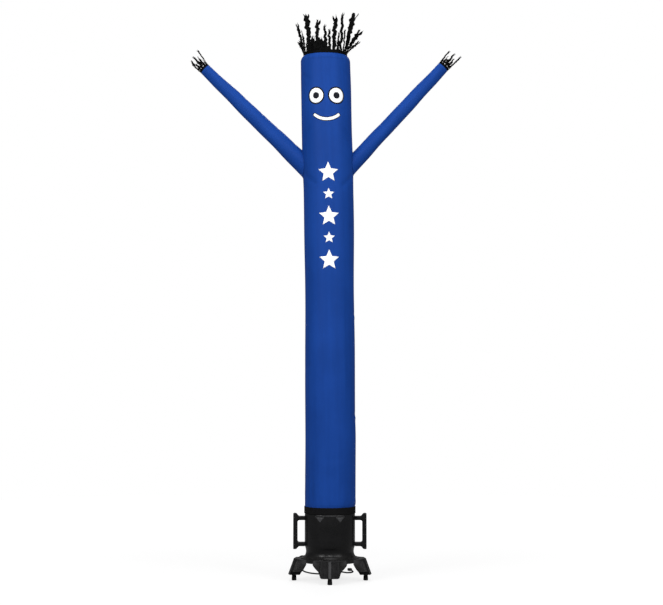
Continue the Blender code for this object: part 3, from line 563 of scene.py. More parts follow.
GRIP_OUT, GRIP_BAR = 0.2220, 0.0262
GRIP_TOP, GRIP_LOW, GRIP_TIP = 0.4050, 0.1880, 0.0185
STRUT_HIGH, STRUT_LOW, STRUT_HALF = 0.3746, 0.2180, 0.0125
GRIP_FLARE, GRIP_HALF_WIDTH, GRIP_ROUND, GRIP_FLAT = 0.0070, 0.0170, 0.0045, 0.0060
GRIP_INSIDE = 0.1400       # the struts' ends are taken this deep while the outline is drawn in
bar_in = GRIP_OUT - GRIP_BAR
GRIP_CORNERS = np.array((
    # out, height, corner radius; the first, last and two middle corners lie in the drum's wall
    (0.0, STRUT_HIGH + STRUT_HALF, 0.0), (bar_in - GRIP_FLARE, STRUT_HIGH + STRUT_HALF, 0.006),
    (GRIP_OUT - GRIP_TIP, GRIP_TOP, 0.005), (GRIP_OUT, GRIP_TOP, 0.006),
    (GRIP_OUT, GRIP_LOW, 0.006), (GRIP_OUT - GRIP_TIP, GRIP_LOW, 0.005),
    (bar_in - GRIP_FLARE, STRUT_LOW - STRUT_HALF, 0.006), (0.0, STRUT_LOW - STRUT_HALF, 0.0),
    (0.0, STRUT_LOW + STRUT_HALF, 0.0), (bar_in, STRUT_LOW + STRUT_HALF, 0.012),
    (bar_in, STRUT_HIGH - STRUT_HALF, 0.012), (0.0, STRUT_HIGH - STRUT_HALF, 0.0),
))


def unit(vectors):
    """Each vector divided by its length."""
    return vectors / np.maximum(np.linalg.norm(vectors, axis=-1, keepdims=True), 1e-9)


def inset(outline, distance):
    """Draw a closed outline in by a distance, each corner along the mean of its two sides' normals."""
    ahead = unit(np.roll(outline, -1, axis=0) - outline)
    normal = np.stack((-ahead[:, 1], ahead[:, 0]), axis=1)
    both = normal + np.roll(normal, 1, axis=0)
    both /= np.maximum(np.sum(both * normal, axis=1, keepdims=True), 0.4)
    return outline + both * distance


def handle_grid():
    """The side view carried across the handle's width, drawn in over a quarter circle at both faces."""
    bend = np.linspace(0.0, pi / 2.0, 6)
    edge = GRIP_HALF_WIDTH - GRIP_ROUND * (1.0 - np.sin(bend))
    across = np.concatenate((-edge[::-1], (-GRIP_FLAT, 0.0, GRIP_FLAT), edge))
    drawn = GRIP_ROUND * (1.0 - np.cos(bend))
    drawn = np.concatenate((drawn[::-1], (0.0, 0.0, 0.0), drawn))
    slices = []
    for y, distance in zip(across, drawn):
        corners = GRIP_CORNERS[:, :2].copy()
        in_wall = corners[:, 0] == 0.0
        corners[in_wall, 0] = GRIP_INSIDE
        corners = inset(corners, -distance if signed_area(corners) < 0.0 else distance)
        corners[in_wall, 0] = sqrt((DRUM_RADIUS + SEAT_GAP) ** 2 - y * y)
        outline = softened(corners, np.maximum(GRIP_CORNERS[:, 2:], 1e-5), 4)
        slices.append(np.stack((outline[:, 0], np.full(len(outline), y), outline[:, 1]), axis=-1))
    return np.stack(slices)


def signed_area(outline):
    """Half the sum of each corner's cross product with the next; above 0 where it runs anticlockwise."""
    x, y = outline.T
    return 0.5 * np.sum(x * np.roll(y, -1) - y * np.roll(x, -1))


def close_ends(mesh):
    """Fill the two open ends of a skin, each with one flat face."""
    bm = bmesh.new()
    bm.from_mesh(mesh)
    open_edges = [edge for edge in bm.edges if edge.is_boundary]
    bmesh.ops.holes_fill(bm, edges=open_edges, sides=0)
    bmesh.ops.recalc_face_normals(bm, faces=bm.faces)
    for face in bm.faces:
        face.smooth = True
    bm.to_mesh(mesh)
    bm.free()


for side, half_turn in (("right", 0.0), ("left", pi)):
    bow = skin("grab_handle_" + side, about_fan(handle_grid(), half_turn))
    close_ends(bow)
    bow.set_sharp_from_angle(angle=radians(40.0))
    set_in_place("grab_handle_" + side, bow, black_moulding, "black_moulding", "handle_" + side)


# ---- Strain relief
# A tapered rubber sleeve with grooves cut round it so that it bends with the cord.
# Its flange is snapped into the skirt behind the left leg.

RELIEF_ANGLE, RELIEF_HEIGHT, RELIEF_LENGTH = radians(138.75), 0.1285, 0.0380
RELIEF_FLAT = RING_RADIUS * cos(pi / 48) + SEAT_GAP        # the skirt's flat facet there, and the fit's gap
RELIEF_NECK, RELIEF_RADII = 0.0075, (0.0080, 0.0062)       # where the taper starts, and its radii
RELIEF_GROOVES, RELIEF_GROOVE_DEEP = 6, 0.0011
GROOVES_START, GROOVES_RUN = 0.0105, 0.0240
relief_out = np.array((cos(RELIEF_ANGLE), sin(RELIEF_ANGLE), 0.0))
relief_side = np.array((-sin(RELIEF_ANGLE), cos(RELIEF_ANGLE), 0.0))
relief_root = relief_out * RELIEF_FLAT + np.array((FAN_AXIS, 0.0, RELIEF_HEIGHT))
upright = np.array((0.0, 0.0, 1.0))

along = np.linspace(RELIEF_NECK, RELIEF_LENGTH - 0.0006, 90)
taper = np.interp(along, (RELIEF_NECK, RELIEF_LENGTH), RELIEF_RADII)
groove = np.maximum(0.0, np.sin((along - GROOVES_START) / GROOVES_RUN * RELIEF_GROOVES * tau)) ** 0.6
groove *= (along > GROOVES_START) & (along < GROOVES_START + GROOVES_RUN)
flange = ((0.0, 0.0), (0.0, 0.0096), (0.0006, 0.0100), (0.0050, 0.0100), (0.0058, 0.0096), (0.0062, 0.0086))
tip = ((RELIEF_LENGTH, 0.0056), (RELIEF_LENGTH, 0.0))
relief = np.concatenate((flange, np.stack((along, taper - RELIEF_GROOVE_DEEP * groove), axis=-1), tip))
turn = full_turn(40)[:, None]
rings = (relief[:, None, :1] * relief_out
         + relief[:, None, 1:] * (np.cos(turn) * relief_side + np.sin(turn) * upright))
sleeve = fitted("grooved_sleeve", relief_root + rings, black_rubber, "black_rubber", "cord_gland", sharp=50.0)


# ---- Power cord
# A round two-core mains lead in black rubber, 3.04 m long. It drops from the sleeve to the floor, bends
# round behind the left leg, is wound into a neat coil behind the back leg, and ends beside it in its plug.

LEAD_RADIUS = 0.0045
LEAD_LIFT = LEAD_RADIUS + 0.0006
LEAD_START = (SEAT_GAP, 0.0060, 0.0120)        # past the sleeve's tip, in line with it
LEAD_DROP = (
    # x, y, z from the fan's axis, from the sleeve down to the floor
    (-0.1786, 0.1566, 0.1261), (-0.1876, 0.1645, 0.1191), (-0.1943, 0.1704, 0.1085),
    (-0.1978, 0.1738, 0.0975), (-0.2012, 0.1775, 0.0796), (-0.2048, 0.1822, 0.0603),
    (-0.2085, 0.1890, 0.0425), (-0.2125, 0.1990, 0.0270), (-0.2170, 0.2130, 0.0150),
    (-0.2215, 0.2310, 0.0080), (-0.2262, 0.2530, 0.0055),
)
LEAD_FLOOR = (
    # x, y on the floor, from there round to the coil
    (-0.2315, 0.2830), (-0.2375, 0.3220), (-0.2430, 0.3680), (-0.2478, 0.4150), (-0.2508, 0.4560),
    (-0.2515, 0.4840), (-0.2463, 0.5033), (-0.2323, 0.5173), (-0.2130, 0.5225), (-0.1938, 0.5173),
    (-0.1797, 0.5033), (-0.1745, 0.4840), (-0.1732, 0.4560), (-0.1685, 0.4150), (-0.1570, 0.3740),
    (-0.1375, 0.3300), (-0.1110, 0.2930), (-0.0780, 0.2690), (-0.0390, 0.2602),
)
COIL_MIDDLE, COIL_INNER, COIL_STEP, COIL_LAYER = 0.3270, 0.0372, 0.0100, 0.0094
COIL_POINTS, COIL_LOWER, COIL_CLIMB, COIL_UPPER = 16, 48, 5, 44    # points to a turn, and to each stretch
LEAD_TAIL = (
    # x, y, z from the fan's axis, from the coil to the plug
    (0.0489, 0.2800, LEAD_LIFT + COIL_LAYER), (0.0680, 0.2905, LEAD_LIFT + COIL_LAYER),
    (0.0890, 0.3025, 0.0102), (0.1085, 0.3155, 0.0062), (0.1250, 0.3300, LEAD_LIFT),
    (0.1375, 0.3470, LEAD_LIFT), (0.1440, 0.3665, LEAD_LIFT), (0.1440, 0.3865, 0.0056),
    (0.1400, 0.4055, 0.0068), (0.1345, 0.4230, 0.0080),
)


def through(points, steps):
    """A smooth curve through rows of points, with so many steps between each two: cubic pieces, whose
    direction at a point is that of its two neighbours."""
    padded = np.concatenate((2.0 * points[:1] - points[1:2], points, 2.0 * points[-1:] - points[-2:-1]))
    before, start, end, after = (padded[i:len(padded) - 3 + i, None] for i in range(4))
    t = np.linspace(0.0, 1.0, steps, endpoint=False)[:, None]
    bend = (2.0 * before - 5.0 * start + 4.0 * end - after) * t ** 2
    twist = (3.0 * start - before - 3.0 * end + after) * t ** 3
    curve = 0.5 * (2.0 * start + (end - before) * t + bend + twist)
    return np.concatenate((curve.reshape(-1, points.shape[-1]), points[-1:]))


def lead_route():
    """Out of the sleeve, down, round the coil and to the plug. In the coil the radius shrinks evenly
    through the lower layer, stays while the lead climbs, and grows evenly through the upper one."""
    step = np.arange(COIL_LOWER + COIL_CLIMB + COIL_UPPER + 1)
    off = np.maximum(COIL_LOWER - step, 0) + np.maximum(step - COIL_LOWER - COIL_CLIMB, 0)
    climbed = np.clip((step - COIL_LOWER) / COIL_CLIMB, 0.0, 1.0)
    coil = ringed(COIL_INNER + COIL_STEP * off / COIL_POINTS, tau * step / COIL_POINTS - pi / 2.0,
                  LEAD_LIFT + COIL_LAYER * climbed) + (0.0, COIL_MIDDLE, 0.0)
    floor = np.pad(LEAD_FLOOR, ((0, 0), (0, 1)), constant_values=LEAD_LIFT)
    behind = np.concatenate((LEAD_DROP, floor, coil, LEAD_TAIL)) + (FAN_AXIS, 0.0, 0.0)
    start = [relief_root + relief_out * (RELIEF_LENGTH + far) for far in LEAD_START]
    return through(np.concatenate((start, behind)), 6)


route = lead_route()
lead_curve = bpy.data.curves.new("mains_lead", "CURVE")
lead_curve.dimensions = "3D"
lead_curve.bevel_depth, lead_curve.bevel_resolution = LEAD_RADIUS, 4
lead_curve.use_fill_caps = True
spline = lead_curve.splines.new("POLY")
spline.points.add(len(route) - 1)
spline.points.foreach_set("co", np.concatenate((route, np.ones((len(route), 1))), axis=1).ravel())
spline.use_smooth = True
black_cord = plastic("black_cord", (0.0032, 0.0032, 0.0034, 1.0), (0.02, 0.02, 0.02, 1.0),
                     roughness=0.44, pebble=0.0006, relief=0.00010, wear=0.0, dust=0.10, specular=0.03)
lead = set_in_place("mains_lead", lead_curve, black_cord, "black_cord", "cord")


# ---- Plug
# A black plug moulded onto the cord's end, with finger grooves at its neck and two flat pins in
# bright plated brass. It lies on the floor in line with the cord.

PLUG_LENGTH, PLUG_WIDE, PLUG_HIGH, PLUG_ROWS = 0.0400, 0.0260, 0.0180, 60
PLUG_PROFILE = np.array((
    # distance along, share of the width, share of the height
    (0.0, 0.40, 0.62), (0.0100, 0.52, 0.70), (0.0150, 0.72, 0.84), (0.0195, 0.96, 0.97),
    (0.0360, 1.00, 1.00), (0.0388, 0.97, 0.96), (PLUG_LENGTH, 0.86, 0.84),
))
PLUG_GROOVE, PLUG_GROOVED = 0.0030, (0.002, 0.0132)        # from groove to groove, and the grooved stretch
PLUG_GROOVE_DEEP, PLUG_SQUARE = 0.07, 0.6                  # share of the section; its power: 1 is an ellipse
PIN_LONG, PIN_WIDE, PIN_THICK, PIN_SPREAD, PIN_ROOT, PIN_EDGE = 0.0170, 0.0063, 0.0016, 0.0127, 0.0040, 0.0005
PIN_STEPS = np.array((
    # distance past the plug's face, share of the blade's section
    (-PIN_ROOT, 0.0), (-PIN_ROOT, 1.0), (PIN_LONG - 0.0030, 1.0), (PIN_LONG - 0.0010, 0.84),
    (PIN_LONG, 0.60), (PIN_LONG, 0.0),
))

heading = route[-1] - route[-2]
heading[2] = 0.0
heading = unit(heading)
plug_across = np.array((heading[1], -heading[0], 0.0))
plug_start = route[-1] + heading * SEAT_GAP
plug_start[2] = PLUG_HIGH / 2.0 + SEAT_GAP

along = np.linspace(0.0, PLUG_LENGTH, PLUG_ROWS)
wide, high = (flowing(along, PLUG_PROFILE[:, 0], PLUG_PROFILE[:, k]) for k in (1, 2))
grooved = (along > PLUG_GROOVED[0]) * (along < PLUG_GROOVED[1])
grooves = 1.0 - PLUG_GROOVE_DEEP * np.maximum(0.0, np.sin(along / PLUG_GROOVE * tau)) * grooved
turn = full_turn(48)
bulge = [np.sign(wave) * np.abs(wave) ** PLUG_SQUARE for wave in (np.cos(turn), np.sin(turn))]
closing = np.array((0.0,) + (1.0,) * PLUG_ROWS + (0.0,))[:, None]
along = np.concatenate((along[:1], along, along[-1:]))[:, None, None]
wide, high = (np.pad(size * grooves, 1, mode="edge")[:, None] * closing for size in (wide, high))
plug_grid = (plug_start + along * heading + (wide * PLUG_WIDE / 2.0 * bulge[0])[..., None] * plug_across
             + (high * PLUG_HIGH / 2.0 * bulge[1])[..., None] * upright)
plug_body = fitted("moulded_plug", plug_grid, black_moulding, "black_moulding", "plug", sharp=45.0)

plated_brass = plastic("plated_brass", (0.62, 0.60, 0.55, 1.0), (0.80, 0.76, 0.62, 1.0),
                       (0.4, 0.38, 0.33, 1.0), roughness=0.26, pebble=0.0010, relief=0.00003,
                       wear=0.4, dust=0.2, specular=0.5, metal=1.0)
blade = np.array(((-1.0, -1.0), (1.0, -1.0), (1.0, 1.0), (-1.0, 1.0))) * (PIN_THICK / 2.0, PIN_WIDE / 2.0)
section = softened(blade, PIN_EDGE) * PIN_STEPS[:, None, 1:]
for name, hand in (("plug_pin_near", -1.0), ("plug_pin_far", 1.0)):
    middle = plug_start + heading * PLUG_LENGTH + plug_across * hand * PIN_SPREAD / 2.0
    pin = (middle + PIN_STEPS[:, None, :1] * heading
           + section[..., :1] * plug_across + section[..., 1:] * upright)
    fitted(name, pin, plated_brass, "dark_steel", sharp=40.0)


# ---- Body tube
# One panel of light blue coated nylon, sewn into a tube up both sides, with a hem at each end.
# The lower hem is pulled over the fan's collar; moving air keeps the tube round and taut.

CLOTH_THICK = 0.0008
TUBE_SHAPE = np.array((
    # height, radius, sideways drift of the middle
    (0.4075, 0.1520, 0.0000), (0.4460, 0.1520, 0.0000), (0.4560, 0.1538, 0.0020), (0.4850, 0.1549, 0.0035),
    (0.8450, 0.1549, 0.0035), (1.0300, 0.1527, 0.0010), (1.3900, 0.1522, 0.0000), (1.7600, 0.1496, -0.0028),
    (2.1300, 0.1518, -0.0050), (2.3600, 0.1512, -0.0078), (2.5400, 0.1545, -0.0120),
    (2.7400, 0.1534, -0.0180), (2.9900, 0.1526, -0.0240), (3.1200, 0.1507, -0.0276),
    (3.1620, 0.1500, -0.0283), (3.1760, 0.1472, -0.0284), (3.1870, 0.1422, -0.0285),
    (3.1940, 0.1353, -0.0285),
))
TUBE_LOW, TUBE_HIGH = TUBE_SHAPE[0, 0], TUBE_SHAPE[-1, 0]
TUBE_MEAN, ARM_MEAN = 0.1520, 0.0480           # radii by which turns are laid out flat
SEAM_ANGLES = (radians(-57.0), radians(123.0))   # round the tube from its front, towards the right
SEAM_PROUD, SEAM_HALF = 0.0010, 0.0045
STRAP_TOP, MOUTH_HOLD = 0.4500, 3.1900         # the cloth is held below and above these,
FREE_RISE, FREE_FALL = 0.0600, 0.0500          # and comes free of them over these distances
GATHERS = (
    # height, depth, folds round, how unevenly they stand
    (3.172, 0.0011, 26.0, 1.2), (0.478, 0.0008, 22.0, 0.0),
)
GATHER_HALF, GATHER_FROM, GATHER_RISE = 0.0220, 0.4520, 0.0200
ARM_SEARCH = (-0.09, 0.20)                     # an arm's wall meets the body between these, along the arm
HEMS = (TUBE_LOW + 0.050, TUBE_HIGH - 0.032)   # the rows of stitches along the two hems
CREASES = np.array((
    # from: degrees round from the front, height; to: the same; depth (below 0 stands proud), half width
    (-72, 2.470, -26, 2.385, 0.0042, 0.017), (72, 2.455, 30, 2.372, 0.0040, 0.016),
    (-74, 2.655, -44, 2.742, 0.0034, 0.015), (74, 2.632, 40, 2.730, 0.0034, 0.015),
    (-108, 2.470, -150, 2.392, 0.0040, 0.017), (106, 2.452, 150, 2.385, 0.0040, 0.017),
    (-104, 2.650, -140, 2.728, 0.0030, 0.015), (104, 2.628, 140, 2.712, 0.0030, 0.015),
    (92, 1.612, 56, 1.602, 0.0034, 0.011), (92, 1.586, 66, 1.594, -0.0022, 0.010),
    (92, 1.004, 60, 0.990, 0.0034, 0.011), (92, 0.978, 68, 0.986, -0.0022, 0.010),
    (-88, 1.268, -46, 1.306, 0.0026, 0.016), (-86, 1.890, -52, 1.862, 0.0024, 0.015),
    (84, 2.108, 50, 2.142, 0.0024, 0.015), (-20, 0.720, 34, 0.742, 0.0016, 0.022),
    (-70, 3.070, -38, 3.030, 0.0022, 0.013), (76, 3.030, 48, 3.078, 0.0022, 0.013),
    (160, 0.900, 215, 0.940, 0.0030, 0.018), (150, 1.520, 205, 1.470, 0.0030, 0.018),
    (168, 2.020, 222, 2.060, 0.0028, 0.018), (140, 2.880, 200, 2.850, 0.0028, 0.018),
    (-48, 0.470, -44, 0.640, 0.0022, 0.010), (-14, 0.470, -17, 0.585, 0.0018, 0.009),
    (22, 0.470, 26, 0.620, 0.0020, 0.010), (63, 0.470, 58, 0.600, 0.0022, 0.010),
    (-96, 0.470, -92, 0.610, 0.0022, 0.010), (104, 0.470, 99, 0.640, 0.0022, 0.010),
    (150, 0.470, 154, 0.600, 0.0022, 0.010), (196, 0.470, 192, 0.630, 0.0022, 0.010),
    (232, 0.470, 236, 0.590, 0.0020, 0.010),
))
CREASE_ENDS = (0.10, 0.35)                     # how far past its line a crease runs, how softly: see trough
ARM_SHAPES = {
    # side: root (x, height) on the arm's line, end of the cloth, root radius, end radius
    "left": ((-0.1670, 2.5350), (-0.7670, 3.1170), 0.0595, 0.0355),
    "right": ((0.1420, 2.5350), (0.6950, 3.1300), 0.0495, 0.0370),
}
FEED_RIM, FEED_BACK = 0.0100, 0.0800           # how much smaller the feed holes are than the arms; how deep
NYLON_BLUE = (0.0078, 0.0490, 0.2620, 1.0)
NYLON_BLUE_DEEP = (0.0060, 0.0405, 0.2200, 1.0)


def ripstop():
    """Plain weave crossed by thicker threads in small squares, on cloth measured in metres."""
    group, given = effect("ripstop", Cloth=None, Square=0.006, Thread=0.0007)
    flat = split(group, given["Cloth"])
    half = times(group, given["Square"], 0.5)
    pitch = maths(group, "DIVIDE", tau, given["Thread"])
    lines = [between(group, maths(group, "PINGPONG", flat[axis], half), 0.0003, 0.0008, 1.0, 0.0)
             for axis in "XY"]
    waves = [maths(group, "SINE", times(group, flat[axis], pitch)) for axis in "XY"]
    grid = maths(group, "MAXIMUM", *lines)
    weave = maths(group, "ADD", times(group, times(group, *waves), 0.25), grid)
    return giving(group, Height=weave, Grid=grid)


def sewn_rows():
    """Two rows of stitches beside a seam: dashes along it at a fixed distance on both its sides."""
    group, given = effect("sewn_rows", Seam=None, Row=0.0035, Stitch=0.0035)
    flat = split(group, given["Seam"])
    across = maths(group, "ABSOLUTE", flat["X"])
    from_row = maths(group, "ABSOLUTE", maths(group, "SUBTRACT", across, given["Row"]))
    row = between(group, from_row, 0.0004, 0.0009, 1.0, 0.0)
    step = maths(group, "PINGPONG", flat["Y"], times(group, given["Stitch"], 0.5))
    dash = between(group, maths(group, "DIVIDE", step, given["Stitch"]), 0.09, 0.17)
    return giving(group, Thread=times(group, row, dash),
                  Fold=between(group, across, 0.0005, 0.0014, 1.0, 0.0))


def slow_tone():
    """Slow uneven tone: broad clouds and faint drawn-out streaks along the cloth."""
    group, given = effect("slow_tone", Cloth=None)
    drawn = node(group, "Mapping", {"Vector": given["Cloth"], "Scale": (26.0, 1.1, 1.0)}).outputs[0]
    cloud = times(group, noise(group, given["Cloth"], 3.2, 4.0), 0.6)
    both = plus(group, cloud, noise(group, drawn, 1.0, 3.0), 0.4)
    return giving(group, Tone=between(group, both, 0.36, 0.64))


RIPSTOP, SEWN_ROWS, SLOW_TONE = ripstop(), sewn_rows(), slow_tone()


def tinted(tree, base, mask, strength, colour):
    """Blend a colour over the base where the mask says, at most by the strength."""
    return mixed(tree, times(tree, mask, strength), base, colour)


def coated_nylon(name, colour, deep, roughness):
    """A thin coated cloth: ripstop relief, stitched seams in a darker thread, and slow uneven tone."""
    material, tree = bare(name)
    cloth = cloth_map(tree)
    weave = node(tree, "Group", {"Cloth": cloth}, node_tree=RIPSTOP).outputs
    stitch = node(tree, "Group", {"Seam": cloth_map(tree, "seam")}, node_tree=SEWN_ROWS).outputs
    tone = node(tree, "Group", {"Cloth": cloth}, node_tree=SLOW_TONE).outputs["Tone"]
    base = tinted(tree, mixed(tree, tone, deep, colour), weave["Grid"], 0.22, deep)
    thread = tuple(channel * 0.45 for channel in colour[:3]) + (1.0,)
    base = tinted(tree, tinted(tree, base, stitch["Fold"], 0.45, deep), stitch["Thread"], 0.8, thread)
    rough = plus(tree, plus(tree, roughness - 0.05, tone, 0.08), weave["Grid"], 0.05)
    height = maths(tree, "SUBTRACT", weave["Height"], times(tree, stitch["Thread"], 2.0))
    dress(tree, base, rough, height, 0.55, 0.00012, specular=0.05)
    return material


blue_nylon = coated_nylon("blue_nylon", NYLON_BLUE, NYLON_BLUE_DEEP, roughness=0.50)


def short_way(turn, around=tau):
    """A turn taken the short way round, from minus to plus half of the whole way."""
    return (turn + around / 2.0) % around - around / 2.0


def bell_curve(distance, half):
    """A bell curve: 1 on the line, and 1 / e at half its width."""
    return np.exp(-(distance / half) ** 2)


def trough(du, dv, run, depth, half, past, fade):
    """One crease: deepest along its line, a bell curve of the distance from it, and softly run out
    over fade at both ends, which start past the line's own by that share of its length."""
    length = np.hypot(*run)
    share = (du * run[0] + dv * run[1]) / length ** 2
    away = np.abs(du * run[1] - dv * run[0]) / length
    ends = smooth_step((share + past) / fade) * smooth_step((1.0 + past - share) / fade)
    return depth * ends * bell_curve(away, half)


def crease_relief(across, height, around):
    """Soft troughs drawn on the flat cloth, added up.

    across is in metres round the tube, and around is the whole way round it. A crease that runs
    backwards, or over more than an eighth of the way round, is measured from its middle.
    """
    relief = np.zeros(np.broadcast(across, height).shape)
    for from_turn, from_height, to_turn, to_height, depth, half in CREASES:
        start, end = (radians(turn) * around / tau for turn in (from_turn, to_turn))
        run = np.array((end - start, to_height - from_height))
        du = short_way(across - start, around)
        if to_turn < from_turn or abs(run[0]) > around / 8.0:
            du = short_way(across - (start + run[0] / 2.0), around) + run[0] / 2.0
        relief -= trough(du, height - from_height, run, depth, half, *CREASE_ENDS)
    return relief


def tube_point(angle, height, lift=0.0):
    """A point of the blown tube, angle round from its front and height above the floor.

    The radius flows through the table. Slow waves, the drawn creases, the two sewn ridges and small
    gathers at the mouth are added to it, and all fade out where the strap holds the hem.
    """
    angle, height = np.broadcast_arrays(angle, height)
    radius, drift = (flowing(height, TUBE_SHAPE[:, 0], TUBE_SHAPE[:, k]) for k in (1, 2))
    free = smooth_step((height - STRAP_TOP) / FREE_RISE) * smooth_step((MOUTH_HOLD - height) / FREE_FALL)
    waves = (0.0012 * np.sin(2.0 * angle + 1.7 * height) + 0.0009 * np.sin(3.0 * angle - 2.9 * height + 1.0)
             + 0.0008 * np.sin(6.3 * height + 0.6 * np.sin(angle))
             + 0.0005 * np.sin(5.0 * angle + 8.1 * height))
    gathers = sum(depth * np.cos(folds * angle + uneven * np.sin(3.0 * angle))
                  * bell_curve(height - at, GATHER_HALF)
                  for at, depth, folds, uneven in GATHERS)
    seams = sum(SEAM_PROUD * bell_curve(short_way(angle - seam) * radius, SEAM_HALF) for seam in SEAM_ANGLES)
    creases = crease_relief(angle * TUBE_MEAN, height, tau * TUBE_MEAN)
    gathers = gathers * smooth_step((height - GATHER_FROM) / GATHER_RISE)
    radius = radius + free * (waves + creases + seams) + gathers + lift
    return np.stack((FAN_AXIS + drift + radius * np.sin(angle), -radius * np.cos(angle), height), axis=-1)


def arm_frame(side):
    """The arm's root, its direction, a sideways direction square to both it and the depth, and its length."""
    (root_x, root_z), (end_x, end_z), _, _ = ARM_SHAPES[side]
    along = np.array((end_x - root_x, 0.0, end_z - root_z))
    length = np.linalg.norm(along)
    along /= length
    return np.array((root_x + FAN_AXIS, 0.0, root_z)), along, np.cross((0.0, 1.0, 0.0), along), length


def arm_radius(side, along):
    """The arm's taper: an even cone from root to end."""
    _, _, root_radius, end_radius = ARM_SHAPES[side]
    return root_radius + (end_radius - root_radius) * along / arm_frame(side)[3]


def nearest_seam(angle, height):
    """Flat distance across and along the nearest of the side seams and hems, in metres."""
    rows = [(short_way(angle - seam) * TUBE_MEAN, height) for seam in SEAM_ANGLES]
    rows += [(height - hem, angle * TUBE_MEAN) for hem in HEMS]
    across, along = (np.stack([np.broadcast_to(row[k], angle.shape) for row in rows]) for k in (0, 1))
    nearest = np.argmin(np.abs(across), axis=0)[None]
    return np.stack((np.take_along_axis(across, nearest, 0)[0],
                     np.take_along_axis(along, nearest, 0)[0]), axis=-1)


near_seam = np.array((-0.036, -0.018, -0.009, 0.009, 0.018, 0.036))
turn = np.concatenate([np.linspace(-pi, pi, 147)] + [seam + near_seam for seam in SEAM_ANGLES])
turn = np.unique(np.round(turn, 9))
rows = np.unique(np.round(np.concatenate((
    np.linspace(TUBE_LOW, TUBE_HIGH, 250), np.linspace(0.440, 0.500, 14),
    np.linspace(3.150, TUBE_HIGH, 16))), 6))
angle, height = np.meshgrid(turn, rows)
cloth = tube_point(angle, height)
centre = (cloth[:-1, :-1] + cloth[1:, 1:]) / 2.0
open_cloth = np.ones(centre.shape[:2], dtype=bool)
for side in ARM_SHAPES:
    root, along, sideways, length = arm_frame(side)
    offset = centre - root
    run = offset @ along
    away = np.linalg.norm(offset - run[..., None] * along, axis=-1)
    open_cloth &= ~((away < arm_radius(side, run) - FEED_RIM) & (run > -FEED_BACK))
maps = {"cloth": np.stack((angle * TUBE_MEAN, height), axis=-1), "seam": nearest_seam(angle, height)}
body = fitted("body_cloth", cloth, blue_nylon, "blue_nylon", "body_tube", maps=maps, keep=open_cloth,
              outward=False)


def thicken(piece, thick, offset=-1.0):
    """Give a single layer its thickness, with closed edges: inwards at -1, to both sides at 0."""
    layer = piece.modifiers.new("thickness", "SOLIDIFY")
    layer.thickness, layer.offset = thick, offset


thicken(body, CLOTH_THICK)


# ---- Arms
# Two tapering tubes of the same blue nylon, each sewn up along its underside and cut at the root
# to the body's curve. They stand up because air feeds through holes in the body.

ARM_CREASES = {
    # side: rows of turn (degrees round the arm from its front, up to the top), distance along, to the same,
    #       depth, half width
    "left": ((60, 0.060, 20, 0.100, 0.0026, 0.009), (120, 0.105, 64, 0.118, 0.0020, 0.008),
             (110, 0.250, 60, 0.262, 0.0022, 0.008), (100, 0.395, 52, 0.385, 0.0020, 0.008),
             (104, 0.520, 58, 0.532, 0.0018, 0.007), (96, 0.640, 50, 0.628, 0.0016, 0.007),
             (-80, 0.330, -40, 0.345, 0.0016, 0.008), (-70, 0.560, -36, 0.548, 0.0014, 0.007),
             (190, 0.210, 236, 0.226, 0.0022, 0.009), (176, 0.480, 222, 0.470, 0.0020, 0.008)),
    "right": ((64, 0.055, 22, 0.092, 0.0024, 0.009), (-84, 0.180, -40, 0.192, 0.0020, 0.008),
              (-90, 0.330, -46, 0.322, 0.0020, 0.008), (-84, 0.470, -44, 0.484, 0.0018, 0.007),
              (96, 0.290, 54, 0.300, 0.0016, 0.007), (90, 0.610, 50, 0.600, 0.0016, 0.007),
              (186, 0.250, 230, 0.262, 0.0022, 0.009), (172, 0.520, 216, 0.510, 0.0020, 0.008)),
}
ARM_CREASE_ENDS = (0.15, 0.40)
ARM_SEAM = radians(-90.0)
ARM_SEAM_PROUD, ARM_SEAM_HALF = 0.0009, 0.0035
ARM_HEM, ARM_FREE = 0.0200, 0.0300             # the stitches, and where the cloth comes free, from its end
ARM_INSET, ARM_CLEAR = 0.0006, 0.0002          # how far inside the cone it lies, and off the body it starts


def arm_point(side, angle, run, lift=0.0):
    """A point of an arm, angle round from its front towards its top and run metres along it.

    The cone's radius carries slow waves, drawn creases and the sewn ridge underneath.
    """
    root, along, sideways, length = arm_frame(side)
    upward = sideways if sideways[2] > 0.0 else -sideways
    angle, run = np.broadcast_arrays(angle, run)
    radius = arm_radius(side, run)
    relief = 0.0010 * np.sin(2.0 * angle + 9.0 * run) + 0.0008 * np.sin(3.0 * angle - 17.0 * run + 0.8)
    relief = relief + 0.0006 * np.sin(31.0 * run + 1.5 * np.sin(angle))
    for from_turn, from_run, to_turn, to_run, depth, half in ARM_CREASES[side]:
        span = radians(to_turn - from_turn) * ARM_MEAN
        du = short_way(angle - radians((from_turn + to_turn) / 2.0)) * ARM_MEAN + span / 2.0
        relief = relief - trough(du, run - from_run, (span, to_run - from_run), depth, half, *ARM_CREASE_ENDS)
    relief = relief + ARM_SEAM_PROUD * bell_curve(short_way(angle - ARM_SEAM) * radius, ARM_SEAM_HALF)
    free = smooth_step((length - run) / ARM_FREE)
    radius = radius + relief * (0.35 + 0.65 * free) - ARM_INSET + lift
    return (root + run[..., None] * along - (radius * np.cos(angle))[..., None] * np.array((0.0, 1.0, 0.0))
            + (radius * np.sin(angle))[..., None] * upward)


